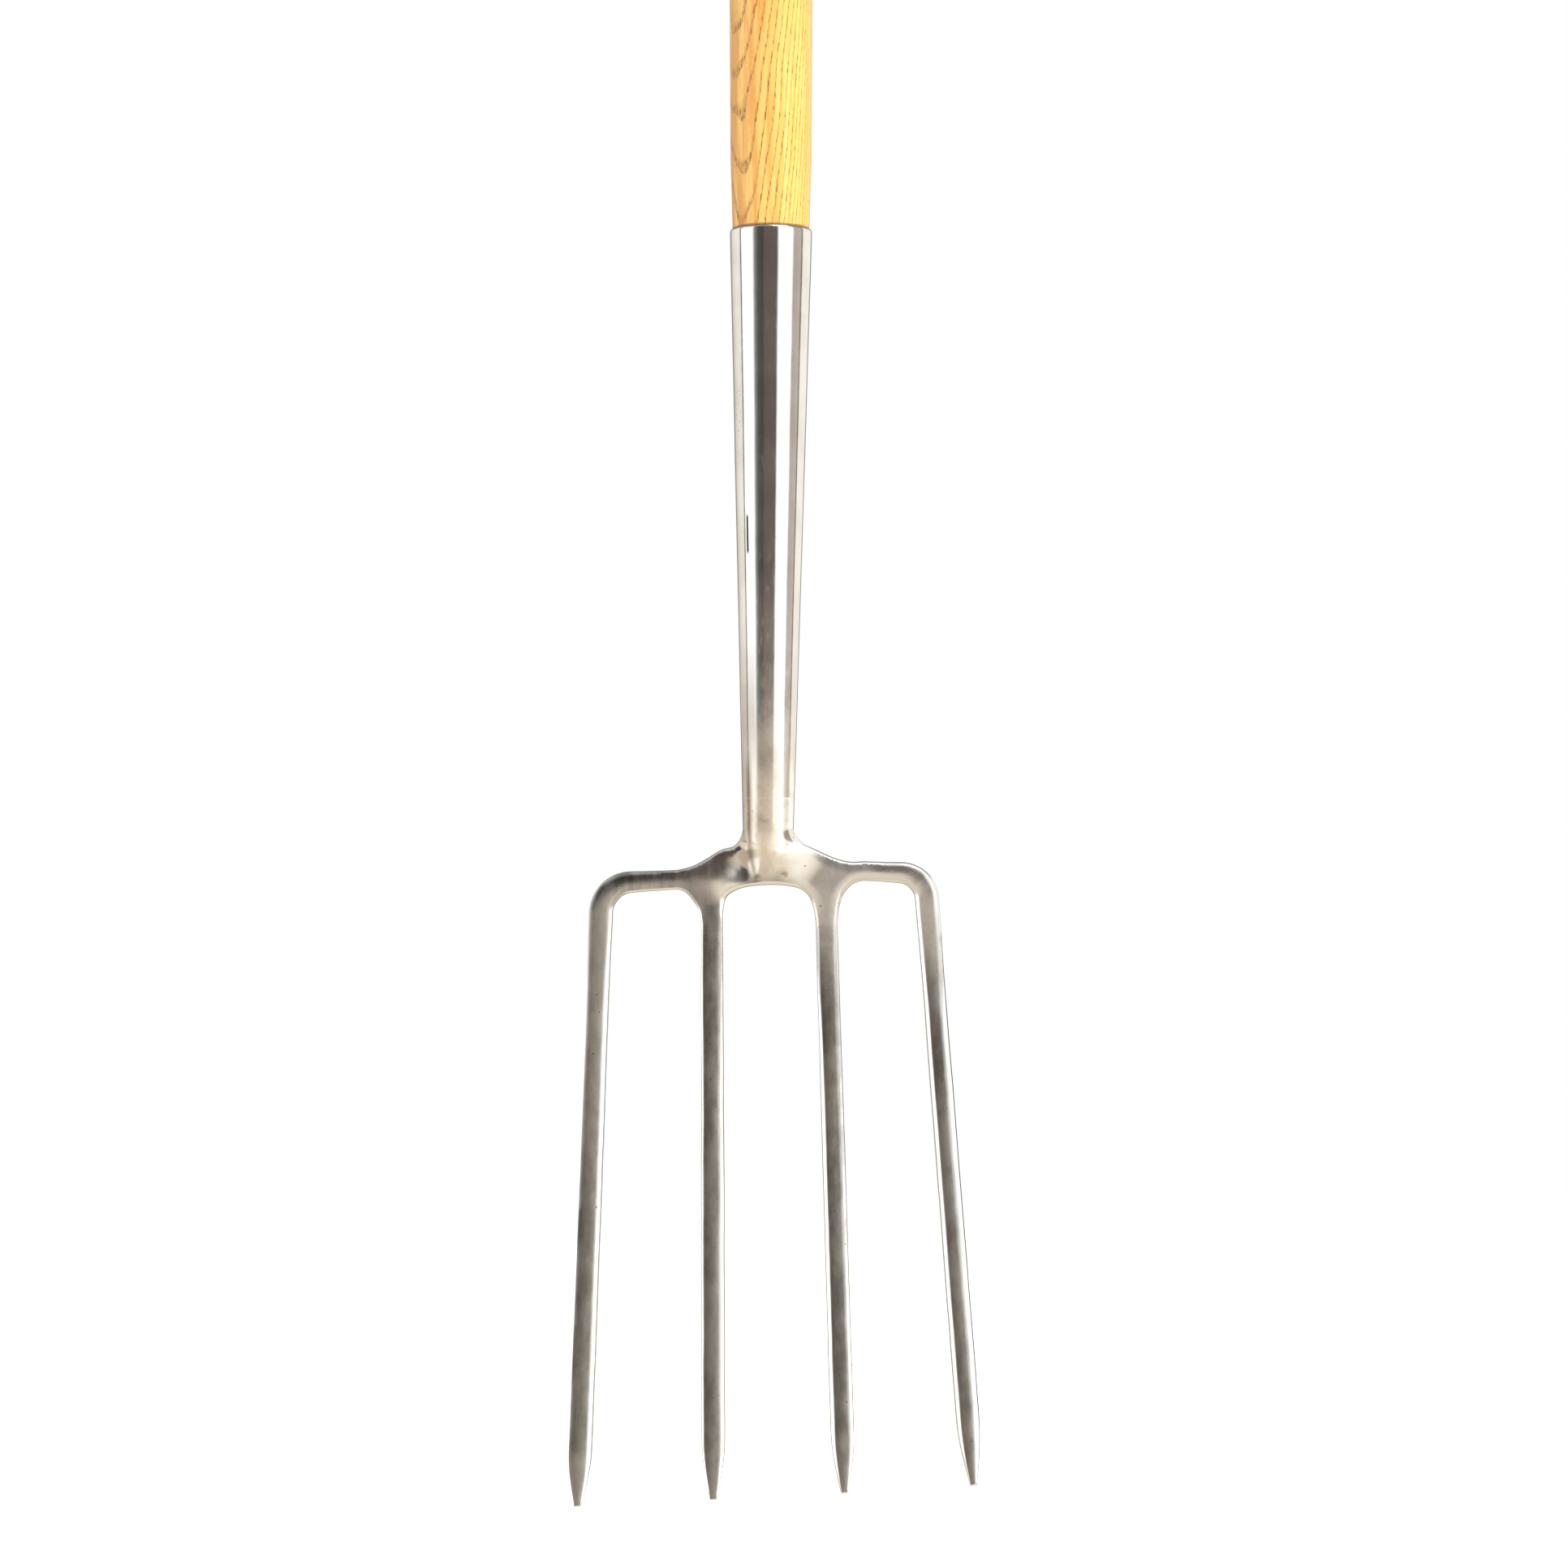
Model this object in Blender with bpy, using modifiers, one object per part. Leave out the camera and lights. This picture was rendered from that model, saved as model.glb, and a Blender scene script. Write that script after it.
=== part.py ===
"""Digging fork: four forged stainless tines on a crosshead, a tapered socket, and an ash shaft with a D grip.

Metres. Z runs up the shaft from the lowest tine tip, X runs to the right as seen from the front, and the front
faces -Y. The shaft's axis is X = Y = 0.
"""

import math

import bmesh
import bpy
from mathutils import Matrix

GAP = 0.0003  # clearance between pieces that touch on the real fork

# Tines: a bar with a flat front and bevelled edges, drawn to a blunt spear point
TINE_WIDTH = 0.0106
TINE_THICKNESS = 0.0092
TINE_FRONT_FLAT = 0.0076
TINE_BACK_FLAT = 0.0060
TINE_BEVEL_DEPTH = 0.0020
TINE_FORWARD = 0.010  # how far the tips sweep forward of the crosshead
SPEAR_TIP = 0.30  # tip width as a share of the bar's
ROOT_Z = 0.270  # where the inner tines meet the crosshead
ROOT_SCALE = 0.94
FULL_SCALE = 1.04
ARM_SCALE = 0.85
ARM_X = 0.044  # where the outer tines meet the crosshead
SWELL_REACH = 1.3  # the bars reach their full size at 1 / 1.3 of the way down
SWELL_EASE = 0.6
CORNER_BLEND = 0.045  # how far below its corner an outer tine takes to slim down to an inner tine's size
STEP = 0.009  # length of a straight facet along a bar
CORNER_STEPS = 8
SPEAR_STEPS = 6

# (x, z) of each tine's centreline. The forging leans to the right and rises 2.6 degrees to the right.
LEFT_ARM = ((-ARM_X, 0.2914), (-0.0793, 0.2896))
RIGHT_ARM = ((ARM_X, 0.2955), (0.0723, 0.2942))
LEFT_CORNER_RADIUS = 0.015
RIGHT_CORNER_RADIUS = 0.013
OUTER_LEFT_TIP = (-0.0900, 0.0)
OUTER_RIGHT_TIP = (0.0943, 0.0095)
INNER_LEFT = ((-0.0277, ROOT_Z), (-0.0268, 0.003))
INNER_RIGHT = ((0.0261, ROOT_Z), (0.0342, 0.006))
SPEAR_LENGTHS = {"outer_left": 0.026, "inner_left": 0.028, "inner_right": 0.029, "outer_right": 0.032}

# Crosshead: a forged plate with rounded edges, and a neck that takes the socket
PLATE_THICKNESS = 0.0088
PLATE_BEVEL = 0.0018
NECK_Z = 0.3140
NECK_RADIUS = 0.0119
NECK_SHIFT = -0.0013  # the welded head stands this far to the left of the shaft's axis
NECK_EDGE = 0.0108  # half the plate's width at the neck
# (x, z) of smooth points along the plate's edges, from left to right
LEFT_SHOULDER = ((-0.0158, 0.3080), (-0.0240, 0.3048), (-0.0362, 0.2978))
LEFT_ARCH = ((-0.0390, 0.2838), (-0.0342, 0.2780))
MIDDLE_ARCH = ((-0.0222, 0.2800), (-0.0165, 0.2866), (-0.0010, 0.2890), (0.0135, 0.2872), (0.0186, 0.2800))
RIGHT_ARCH = ((0.0312, 0.2820), (0.0362, 0.2892))
RIGHT_SHOULDER = ((0.0360, 0.3004), (0.0250, 0.3042), (0.0140, 0.3086))
# (radius, z) down the tongue that runs from the neck over the plate
TONGUE = ((NECK_RADIUS, 0.3050), (0.0106, 0.2980), (0.0084, 0.2925), (0.0060, 0.2902), (0, 0.2902))

# Socket: a tapered tube
SOCKET_RIM_Z = 0.5960
SOCKET_RIM_RADIUS = 0.0193
SOCKET_WALL = 0.0010
RIM_ROUNDING = 0.0005

# Ash shaft and its yoke
SHAFT_END_Z = 0.352
SHAFT_END_EDGE = 0.002
SHAFT_SHOULDER_Z = 0.630
SHAFT_RADIUS = 0.0190
SHAFT_UPPER_RADIUS = 0.0194
SHAFT_UPPER_Z = 0.704
THROAT_Z = 0.925
GRIP_Z = 1.082
EAR_RADIUS = 0.0170
ARM_INNER_X = 0.0455
YOKE_ARM_WIDTH = 0.0200
YOKE_ARM_DEPTH = 0.0330
YOKE_ARM_LOW_X = 0.0092  # where an arm starts, inside the shaft
YOKE_ARM_OVERLAP = 0.040  # how far it runs down into the shaft
YOKE_BEND_BELOW_THROAT = 0.012
YOKE_BEND_BELOW_GRIP = 0.022
YOKE_LOW_SCALE = 0.84
YOKE_PATH_STEPS = 16
YOKE_SECTION_STEPS = 20
YOKE_SIDE_POWER = 0.75  # below 1 squares the arm's rounded section
YOKE_FRONT_POWER = 0.85
EAR_EDGE = 0.0020
# (radius, distance below the throat) over the shaft's rounded upper end
THROAT_CROWN = ((0, -0.012), (0.0100, -0.010), (0.0165, 0))
THROAT_CROWN_END = 0.014

# Grip bar, its rod and washers
GRIP_END_RADIUS = 0.0150
GRIP_MIDDLE_RADIUS = 0.0170
ROD_RADIUS = 0.0030
ROD_HEAD_RADIUS = 0.0055
ROD_HEAD_HEIGHT = 0.0022
ROD_HOLE_REACH = 0.08
GRIP_WASHER_RADIUS = 0.0090
GRIP_WASHER_THICKNESS = 0.0012

# Throat rivet and its washers
RIVET_Z = 0.912
RIVET_RADIUS = 0.0024
RIVET_HEAD_RADIUS = 0.0042
RIVET_HEAD_HEIGHT = 0.0018
RIVET_HOLE_REACH = 0.030
THROAT_SEAT_X = 0.0176
THROAT_WASHER_RADIUS = 0.0065
THROAT_WASHER_THICKNESS = 0.0010

# Fixing screws at the back of the socket
SCREW_HEIGHTS = {"upper": 0.575, "lower": 0.520}
SCREW_RADIUS = 0.0020
SCREW_LENGTH = 0.022
SCREW_POINT = 0.004
SCREW_HOLE_OUTER = 0.030
SCREW_HOLE_INNER = -0.0043
SCREW_HEAD_RADIUS = 0.0042
SCREW_HEAD_HEIGHT = 0.0021
SLOT_WIDTH = 0.0010
SLOT_DEPTH = 0.0009

ROUND_STEPS = 48
SMALL_STEPS = 20
GRIP_STEPS = 32
GRIP_PROFILE_STEPS = 6
DOME_STEPS = 4
WASHER_EDGE = 0.25  # rounding of a washer's rim as a share of its thickness
WELD = 0.00001

STEEL = ("stainless_steel", (0.62, 0.60, 0.57, 1.0), 0.28, 1.0)
POLISHED = ("polished_steel", (0.70, 0.69, 0.67, 1.0), 0.12, 1.0)
ASH = ("ash_wood", (0.86, 0.62, 0.30, 1.0), 0.38, 0.0)
FASTENER = ("zinc_steel", (0.66, 0.66, 0.66, 1.0), 0.32, 1.0)


def clear_scene():
    for obj in list(bpy.data.objects):
        bpy.data.objects.remove(obj, do_unlink=True)


def new_collection(name):
    found = bpy.data.collections.new(name)
    bpy.context.scene.collection.children.link(found)
    return found


def material(finish):
    name, colour, roughness, metallic = finish
    made = bpy.data.materials.get(name) or bpy.data.materials.new(name)
    made.use_nodes = True
    shader = made.node_tree.nodes["Principled BSDF"]
    shader.inputs["Base Color"].default_value = colour
    shader.inputs["Roughness"].default_value = roughness
    shader.inputs["Metallic"].default_value = metallic
    return made


def placed(name, data, finish=None):
    """A new object in the parts collection, or in the cutters collection when it has no finish."""
    obj = bpy.data.objects.new(name, data)
    group = "digging_fork" if finish else "cutters"
    bpy.data.collections[group].objects.link(obj)
    if finish:
        obj.data.materials.append(material(finish))
    else:
        obj.hide_render = True
        obj.display_type = "WIRE"
    return obj


def turned(name, profile, finish=None, steps=ROUND_STEPS, along=None):
    """A solid of revolution from (radius, height) points listed down its outer side."""
    mesh = bpy.data.meshes.new(name)
    points = [(radius, 0.0, height) for radius, height in profile]
    closed = profile[0][0] > 0 and profile[-1][0] > 0
    edges = [(i, i + 1) for i in range(len(points) - 1)]
    if closed:
        edges.append((len(points) - 1, 0))
    mesh.from_pydata(points, edges, [])
    obj = placed(name, mesh, finish)
    screw = obj.modifiers.new("Turn", "SCREW")
    screw.steps = steps
    screw.render_steps = steps
    screw.use_merge_vertices = True
    screw.merge_threshold = WELD
    screw.use_smooth_shade = True
    if along == "X":
        obj.rotation_euler = (0, math.radians(90), 0)
    if along == "Y":
        obj.rotation_euler = (math.radians(-90), 0, 0)
    return obj


def baked(obj, name, finish):
    """The object's evaluated shape as a plain welded mesh object, in place of it."""
    bpy.context.view_layer.update()
    graph = bpy.context.evaluated_depsgraph_get()
    mesh = bpy.data.meshes.new_from_object(obj.evaluated_get(graph))
    mesh.transform(obj.matrix_world)
    form = bmesh.new()
    form.from_mesh(mesh)
    bmesh.ops.remove_doubles(form, verts=form.verts, dist=WELD)
    bmesh.ops.recalc_face_normals(form, faces=form.faces)
    form.to_mesh(mesh)
    form.free()
    mesh.name = name
    mesh.materials.clear()
    bpy.data.objects.remove(obj)
    return placed(name, mesh, finish)


def flat_curve(name, points, cyclic, scales=None):
    """A 2D poly curve through (x, z) points, standing in the XZ plane with its normal to the front."""
    curve = bpy.data.curves.new(name, "CURVE")
    curve.dimensions = "2D"
    spline = curve.splines.new("POLY")
    spline.points.add(len(points) - 1)
    spline.use_cyclic_u = cyclic
    for i, (x, z) in enumerate(points):
        spline.points[i].co = (x, z, 0, 1)
        spline.points[i].radius = scales[i] if scales else 1.0
    obj = placed(name, curve)
    obj.rotation_euler = (math.radians(90), 0, 0)
    return obj


def swept(name, path, scales, section, finish=None):
    """A closed bar: the section, drawn as (across, forward) points, carried along a path in the XZ plane."""
    profile = flat_curve(f"{name}_section", section, True)
    rail = flat_curve(f"{name}_rail", path, False, scales)
    rail.data.bevel_mode = "OBJECT"
    rail.data.bevel_object = profile
    rail.data.use_fill_caps = True
    bar = baked(rail, name, finish)
    bpy.data.objects.remove(profile)
    return bar


def combine(obj, other, operation):
    step = obj.modifiers.new(operation.title(), "BOOLEAN")
    step.operation = operation
    step.object = other
    step.solver = "EXACT"


def straight(start, end):
    """Points from start up to but not including end, one facet length apart."""
    length = math.dist(start, end)
    count = max(1, round(length / STEP))
    return [(start[0] + (end[0] - start[0]) * i / count, start[1] + (end[1] - start[1]) * i / count)
            for i in range(count)]


def corner_arc(start, corner, end, radius):
    """Points of the arc that rounds a corner between two straight runs."""
    count = CORNER_STEPS
    ways = []
    for other in (start, end):
        length = math.dist(corner, other)
        ways.append(((other[0] - corner[0]) / length, (other[1] - corner[1]) / length))
    (ax, az), (bx, bz) = ways
    half = math.acos(ax * bx + az * bz) / 2
    reach = radius / math.tan(half)
    middle_x, middle_z = ax + bx, az + bz
    size = math.hypot(middle_x, middle_z)
    away = radius / math.sin(half)
    centre = (corner[0] + middle_x / size * away, corner[1] + middle_z / size * away)
    first = math.atan2(corner[1] + az * reach - centre[1], corner[0] + ax * reach - centre[0])
    last = math.atan2(corner[1] + bz * reach - centre[1], corner[0] + bx * reach - centre[0])
    turn = (last - first + math.pi) % (2 * math.pi) - math.pi
    return [(centre[0] + radius * math.cos(first + turn * i / count),
             centre[1] + radius * math.sin(first + turn * i / count)) for i in range(count + 1)]


def spear_points(start, tip, spear_length):
    """The straight run of a tine, with closer points along its spear."""
    length = math.dist(start, tip)
    count = SPEAR_STEPS
    shares = [1 - spear_length / length * (1 - i / count) for i in range(count + 1)]
    spear = [(start[0] + (tip[0] - start[0]) * s, start[1] + (tip[1] - start[1]) * s) for s in shares]
    return straight(start, spear[0]) + spear


def tine_scales(path, spear_length):
    """Bar size along a path: it swells slightly towards the spear, then narrows to the tip."""
    tip = path[-1]
    scales = []
    for x, z in path:
        down = 1 - min(1.0, (z - tip[1]) / ROOT_Z)
        body = ROOT_SCALE + (FULL_SCALE - ROOT_SCALE) * min(1.0, down * SWELL_REACH) ** SWELL_EASE
        left = math.dist((x, z), tip) / spear_length
        point = SPEAR_TIP + (1 - SPEAR_TIP) * math.sin(min(1.0, left) * math.pi / 2)
        scales.append(body * point)
    return scales


def bow_forward(obj):
    """Sweeps the tines forward below the crosshead."""
    for vertex in obj.data.vertices:
        below = max(0.0, (ROOT_Z - vertex.co.z) / ROOT_Z)
        vertex.co.y -= TINE_FORWARD * below**2


def tine_section():
    side = TINE_WIDTH / 2
    front = TINE_THICKNESS / 2
    outline = [(TINE_FRONT_FLAT / 2, front), (side, front - TINE_BEVEL_DEPTH),
               (side, TINE_BEVEL_DEPTH - front), (TINE_BACK_FLAT / 2, -front)]
    return outline + [(-x, y) for x, y in reversed(outline)]


def outer_tine(side, arm, tip, radius):
    """A tine with its arm: out from the crosshead, round the corner, where the bar is fullest, and down."""
    start, corner = arm
    sign = 1 if start[0] > 0 else -1
    start = (start[0] + sign * GAP, start[1])
    arc = corner_arc(start, corner, tip, radius)
    spear_length = SPEAR_LENGTHS[f"outer_{side}"]
    path = straight(start, arc[0]) + arc[:-1] + spear_points(arc[-1], tip, spear_length)
    scales = tine_scales(path, spear_length)
    fullest = abs(arc[len(arc) // 2][0])
    for i, (x, z) in enumerate(path):
        if z > arc[-1][1]:
            along = min(1.0, (abs(x) - ARM_X) / (fullest - ARM_X))
            scales[i] = ARM_SCALE + (FULL_SCALE - ARM_SCALE) * along**2
        else:
            below = min(1.0, (arc[-1][1] - z) / CORNER_BLEND)
            scales[i] = FULL_SCALE + (scales[i] - FULL_SCALE) * below * below * (3 - 2 * below)
    bow_forward(swept(f"outer_tine_{side}", path, scales, tine_section(), STEEL))


def inner_tine(side, run):
    start, tip = run
    spear_length = SPEAR_LENGTHS[f"inner_{side}"]
    path = spear_points((start[0], start[1] - GAP), tip, spear_length)
    scales = tine_scales(path, spear_length)
    bow_forward(swept(f"inner_tine_{side}", path, scales, tine_section(), STEEL))


def crosshead():
    """The forged plate between the tines, joined with the round neck under the socket."""
    half_root = TINE_WIDTH / 2 * ROOT_SCALE
    left_x = INNER_LEFT[0][0]
    right_x = INNER_RIGHT[0][0]
    half_arm = TINE_WIDTH / 2 * ARM_SCALE
    left_z = LEFT_ARM[0][1]
    right_z = RIGHT_ARM[0][1]
    neck_top = NECK_Z - 2 * GAP
    outline = [(NECK_SHIFT - NECK_EDGE, neck_top, "VECTOR")]
    for smooth_points, ends in (
        (LEFT_SHOULDER, ((-ARM_X, left_z + half_arm), (-ARM_X, left_z - half_arm))),
        (LEFT_ARCH, ((left_x - half_root, ROOT_Z), (left_x + half_root, ROOT_Z))),
        (MIDDLE_ARCH, ((right_x - half_root, ROOT_Z), (right_x + half_root, ROOT_Z))),
        (RIGHT_ARCH, ((ARM_X, right_z - half_arm), (ARM_X, right_z + half_arm))),
        (RIGHT_SHOULDER, ((NECK_SHIFT + NECK_EDGE, neck_top),)),
    ):
        outline += [(x, z, "AUTO") for x, z in smooth_points]
        outline += [(x, z, "VECTOR") for x, z in ends]
    curve_data = bpy.data.curves.new("crosshead_outline", "CURVE")
    curve_data.dimensions = "2D"
    curve_data.fill_mode = "BOTH"
    curve_data.resolution_u = 4
    curve_data.extrude = PLATE_THICKNESS / 2 - PLATE_BEVEL
    curve_data.bevel_depth = PLATE_BEVEL
    curve_data.bevel_resolution = 1
    curve_data.offset = -PLATE_BEVEL
    spline = curve_data.splines.new("BEZIER")
    spline.bezier_points.add(len(outline) - 1)
    spline.use_cyclic_u = True
    for point, (x, z, handle) in zip(spline.bezier_points, outline):
        point.co = (x, z, 0)
        point.handle_left_type = handle
        point.handle_right_type = handle
    drawn = placed("crosshead_outline", curve_data)
    drawn.rotation_euler = (math.radians(90), 0, 0)
    plate = baked(drawn, "crosshead", STEEL)
    neck = turned("neck_form", [(0, neck_top), (NECK_RADIUS, neck_top), *TONGUE])
    neck.location = (NECK_SHIFT, 0, 0)
    combine(plate, neck, "UNION")


def socket_radius(z):
    """Outer radius of the socket's cone at a height."""
    share = (z - NECK_Z) / (SOCKET_RIM_Z - NECK_Z)
    return NECK_RADIUS + (SOCKET_RIM_RADIUS - NECK_RADIUS) * share


def screw_holes(piece):
    """Cuts the clearance holes for the fixing screws through the back of a piece."""
    for place, height in SCREW_HEIGHTS.items():
        name = f"{piece.name}_{place}_hole"
        radius = SCREW_RADIUS + GAP
        outer, inner = SCREW_HOLE_OUTER, SCREW_HOLE_INNER
        profile = [(0, outer), (radius, outer), (radius, inner), (0, inner)]
        hole = turned(name, profile, None, SMALL_STEPS, "Y")
        hole.location = (0, 0, height)
        combine(piece, hole, "DIFFERENCE")


def socket():
    rim = SOCKET_RIM_RADIUS
    bore_low = NECK_RADIUS - SOCKET_WALL
    bore_high = rim - SOCKET_WALL
    length = SOCKET_RIM_Z - NECK_Z
    profile = [(rim - RIM_ROUNDING, 0), (rim, -RIM_ROUNDING), (NECK_RADIUS, -length), (bore_low, -length),
               (bore_high, 0)]
    tube = turned("socket", profile, POLISHED)
    tube.location = (0, 0, SOCKET_RIM_Z)
    tube.rotation_euler = (0, math.asin(-NECK_SHIFT / length), 0)
    screw_holes(tube)


def yoke_arm(side):
    """One bent half of the split shaft, from inside the shaft up to the grip's axis."""
    low_x, high_x = YOKE_ARM_LOW_X, ARM_INNER_X + YOKE_ARM_WIDTH / 2
    low_z, high_z = THROAT_Z - YOKE_ARM_OVERLAP, GRIP_Z
    bend_z = THROAT_Z - YOKE_BEND_BELOW_THROAT
    bend_length = high_z - YOKE_BEND_BELOW_GRIP - bend_z
    path, scales = [], []
    count = YOKE_PATH_STEPS
    for i in range(count + 1):
        z = low_z + (high_z - low_z) * i / count
        share = min(1.0, max(0.0, (z - bend_z) / bend_length))
        ease = share * share * (3 - 2 * share)
        path.append((side * (low_x + (high_x - low_x) * ease), z))
        scales.append(YOKE_LOW_SCALE + (1 - YOKE_LOW_SCALE) * min(1.0, share * 2))
    count = YOKE_SECTION_STEPS
    section = []
    for i in range(count):
        angle = 2 * math.pi * i / count
        across, forward = math.cos(angle), math.sin(angle)
        section.append(((YOKE_ARM_WIDTH / 2 - GAP) * math.copysign(abs(across) ** YOKE_SIDE_POWER, across),
                        YOKE_ARM_DEPTH / 2 * math.copysign(abs(forward) ** YOKE_FRONT_POWER, forward)))
    return swept(f"yoke_arm_{'right' if side > 0 else 'left'}", path, scales, section)


def ear(side):
    """The round end of a yoke arm, turned about the grip's axis."""
    half = YOKE_ARM_WIDTH / 2
    edge = EAR_EDGE
    profile = [(0, half), (EAR_RADIUS - edge, half), (EAR_RADIUS, half - edge), (EAR_RADIUS, edge - half),
               (EAR_RADIUS - edge, -half), (0, -half)]
    made = turned(f"ear_{'right' if side > 0 else 'left'}", profile, None, GRIP_STEPS, "X")
    made.location = (side * (ARM_INNER_X + half), 0, GRIP_Z)
    return made


def ash_shaft():
    """The shaft: a tapered end inside the socket, a round run, and an upper end split and bent into a yoke."""
    seat_rim = SOCKET_RIM_RADIUS - SOCKET_WALL - GAP
    seat_end = socket_radius(SHAFT_END_Z) - SOCKET_WALL - GAP + NECK_SHIFT
    profile = [(radius, THROAT_Z - below) for radius, below in THROAT_CROWN]
    profile += [(SHAFT_UPPER_RADIUS, THROAT_Z - THROAT_CROWN_END), (SHAFT_UPPER_RADIUS, SHAFT_UPPER_Z),
                (SHAFT_RADIUS, SHAFT_SHOULDER_Z), (seat_rim, SOCKET_RIM_Z),
                (seat_end, SHAFT_END_Z + SHAFT_END_EDGE), (seat_end - SHAFT_END_EDGE, SHAFT_END_Z),
                (0, SHAFT_END_Z)]
    shaft = turned("ash_shaft", profile, ASH)
    for side in (-1, 1):
        combine(shaft, yoke_arm(side), "UNION")
        combine(shaft, ear(side), "UNION")
    bore = ROD_RADIUS + GAP
    reach = ROD_HOLE_REACH
    rod_profile = [(0, reach), (bore, reach), (bore, -reach), (0, -reach)]
    rod_hole = turned("rod_hole", rod_profile, None, SMALL_STEPS, "X")
    rod_hole.location = (0, 0, GRIP_Z)
    combine(shaft, rod_hole, "DIFFERENCE")
    bore = RIVET_RADIUS + GAP
    seat = THROAT_WASHER_RADIUS + GAP
    reach = RIVET_HOLE_REACH
    rivet_profile = [(0, reach), (seat, reach), (seat, THROAT_SEAT_X), (bore, THROAT_SEAT_X),
                     (bore, -THROAT_SEAT_X), (seat, -THROAT_SEAT_X), (seat, -reach), (0, -reach)]
    rivet_hole = turned("rivet_hole", rivet_profile, None, SMALL_STEPS, "X")
    rivet_hole.location = (0, 0, RIVET_Z)
    combine(shaft, rivet_hole, "DIFFERENCE")
    screw_holes(shaft)


def grip_bar():
    """The turned crossbar, fuller in the middle, bored for the rod."""
    half = ARM_INNER_X - GAP
    bore = ROD_RADIUS + GAP
    count = GRIP_PROFILE_STEPS
    outer = []
    for i in range(count + 1):
        x = half - 2 * half * i / count
        swell = math.cos(x / half * math.pi / 2)
        outer.append((GRIP_END_RADIUS + (GRIP_MIDDLE_RADIUS - GRIP_END_RADIUS) * swell, x))
    bar = turned("grip_bar", outer + [(bore, -half), (bore, half)], ASH, GRIP_STEPS, "X")
    bar.location = (0, 0, GRIP_Z)


def dome(radius, height, base, up):
    """Profile points of a round head on a flat seat, from its crown to its edge."""
    turns = [math.pi / 2 * i / DOME_STEPS for i in range(DOME_STEPS + 1)]
    return [(radius * math.sin(turn), base + up * height * math.cos(turn)) for turn in turns]


def headed_rod(name, radius, seat, head_radius, head_height, z):
    """A rod along X with a peened head at each end, whose heads start at distance seat from the middle."""
    right = dome(head_radius, head_height, seat, 1) + [(radius, seat)]
    left = [(radius, -seat)] + list(reversed(dome(head_radius, head_height, -seat, -1)))
    rod = turned(name, right + left, FASTENER, SMALL_STEPS, "X")
    rod.location = (0, 0, z)


def washers(name, bore, radius, thickness, inner_x, z):
    for side, word in ((-1, "left"), (1, "right")):
        edge = thickness * WASHER_EDGE
        half = thickness / 2
        profile = [(radius - edge, half), (radius, half - edge), (radius, edge - half),
                   (radius - edge, -half), (bore, -half), (bore, half)]
        ring = turned(f"{name}_{word}", profile, FASTENER, SMALL_STEPS, "X")
        ring.location = (side * (inner_x + half), 0, z)


def grip_fittings():
    washer_x = ARM_INNER_X + YOKE_ARM_WIDTH + GAP
    washers("grip_washer", ROD_RADIUS + GAP, GRIP_WASHER_RADIUS, GRIP_WASHER_THICKNESS, washer_x, GRIP_Z)
    seat = washer_x + GRIP_WASHER_THICKNESS + GAP
    headed_rod("grip_rod", ROD_RADIUS, seat, ROD_HEAD_RADIUS, ROD_HEAD_HEIGHT, GRIP_Z)


def throat_fittings():
    washer_x = THROAT_SEAT_X + GAP
    washers("throat_washer", RIVET_RADIUS + GAP, THROAT_WASHER_RADIUS, THROAT_WASHER_THICKNESS, washer_x, RIVET_Z)
    seat = washer_x + THROAT_WASHER_THICKNESS + GAP
    headed_rod("throat_rivet", RIVET_RADIUS, seat, RIVET_HEAD_RADIUS, RIVET_HEAD_HEIGHT, RIVET_Z)


def fixing_screws():
    """Slotted round-head screws that hold the shaft in the socket, entered from the back."""
    for place, height in SCREW_HEIGHTS.items():
        base = socket_radius(height + SCREW_HEAD_RADIUS) + GAP
        point = base - SCREW_LENGTH
        profile = dome(SCREW_HEAD_RADIUS, SCREW_HEAD_HEIGHT, base, 1)
        profile += [(SCREW_RADIUS, base), (SCREW_RADIUS, point + SCREW_POINT), (0, point)]
        screw = turned(f"socket_screw_{place}", profile, FASTENER, SMALL_STEPS, "Y")
        screw.location = (0, 0, height)
        mesh = bpy.data.meshes.new("slot")
        form = bmesh.new()
        bmesh.ops.create_cube(form, size=1)
        form.transform(Matrix.Diagonal((3 * SCREW_HEAD_RADIUS, 2 * SLOT_DEPTH, SLOT_WIDTH, 1)))
        form.to_mesh(mesh)
        form.free()
        slot = placed(f"slot_{place}", mesh)
        slot.location = (0, base + SCREW_HEAD_HEIGHT, height)
        combine(screw, slot, "DIFFERENCE")


def main():
    clear_scene()
    new_collection("digging_fork")
    new_collection("cutters")
    outer_tine("left", LEFT_ARM, OUTER_LEFT_TIP, LEFT_CORNER_RADIUS)
    outer_tine("right", RIGHT_ARM, OUTER_RIGHT_TIP, RIGHT_CORNER_RADIUS)
    inner_tine("left", INNER_LEFT)
    inner_tine("right", INNER_RIGHT)
    crosshead()
    socket()
    ash_shaft()
    grip_bar()
    grip_fittings()
    throat_fittings()
    fixing_screws()


main()
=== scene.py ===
"""Looks of the digging fork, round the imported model: forged head, polished socket and lacquered ash handle.

Metres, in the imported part's frame: Z goes up the shaft from the lowest tine tip, X to the right seen from the
front, the front faces -Y, and the shaft's axis is X = Y = 0.
"""

import math

import bmesh
import bpy
import numpy as np
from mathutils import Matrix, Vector, noise
from mathutils.geometry import delaunay_2d_cdt


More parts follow.
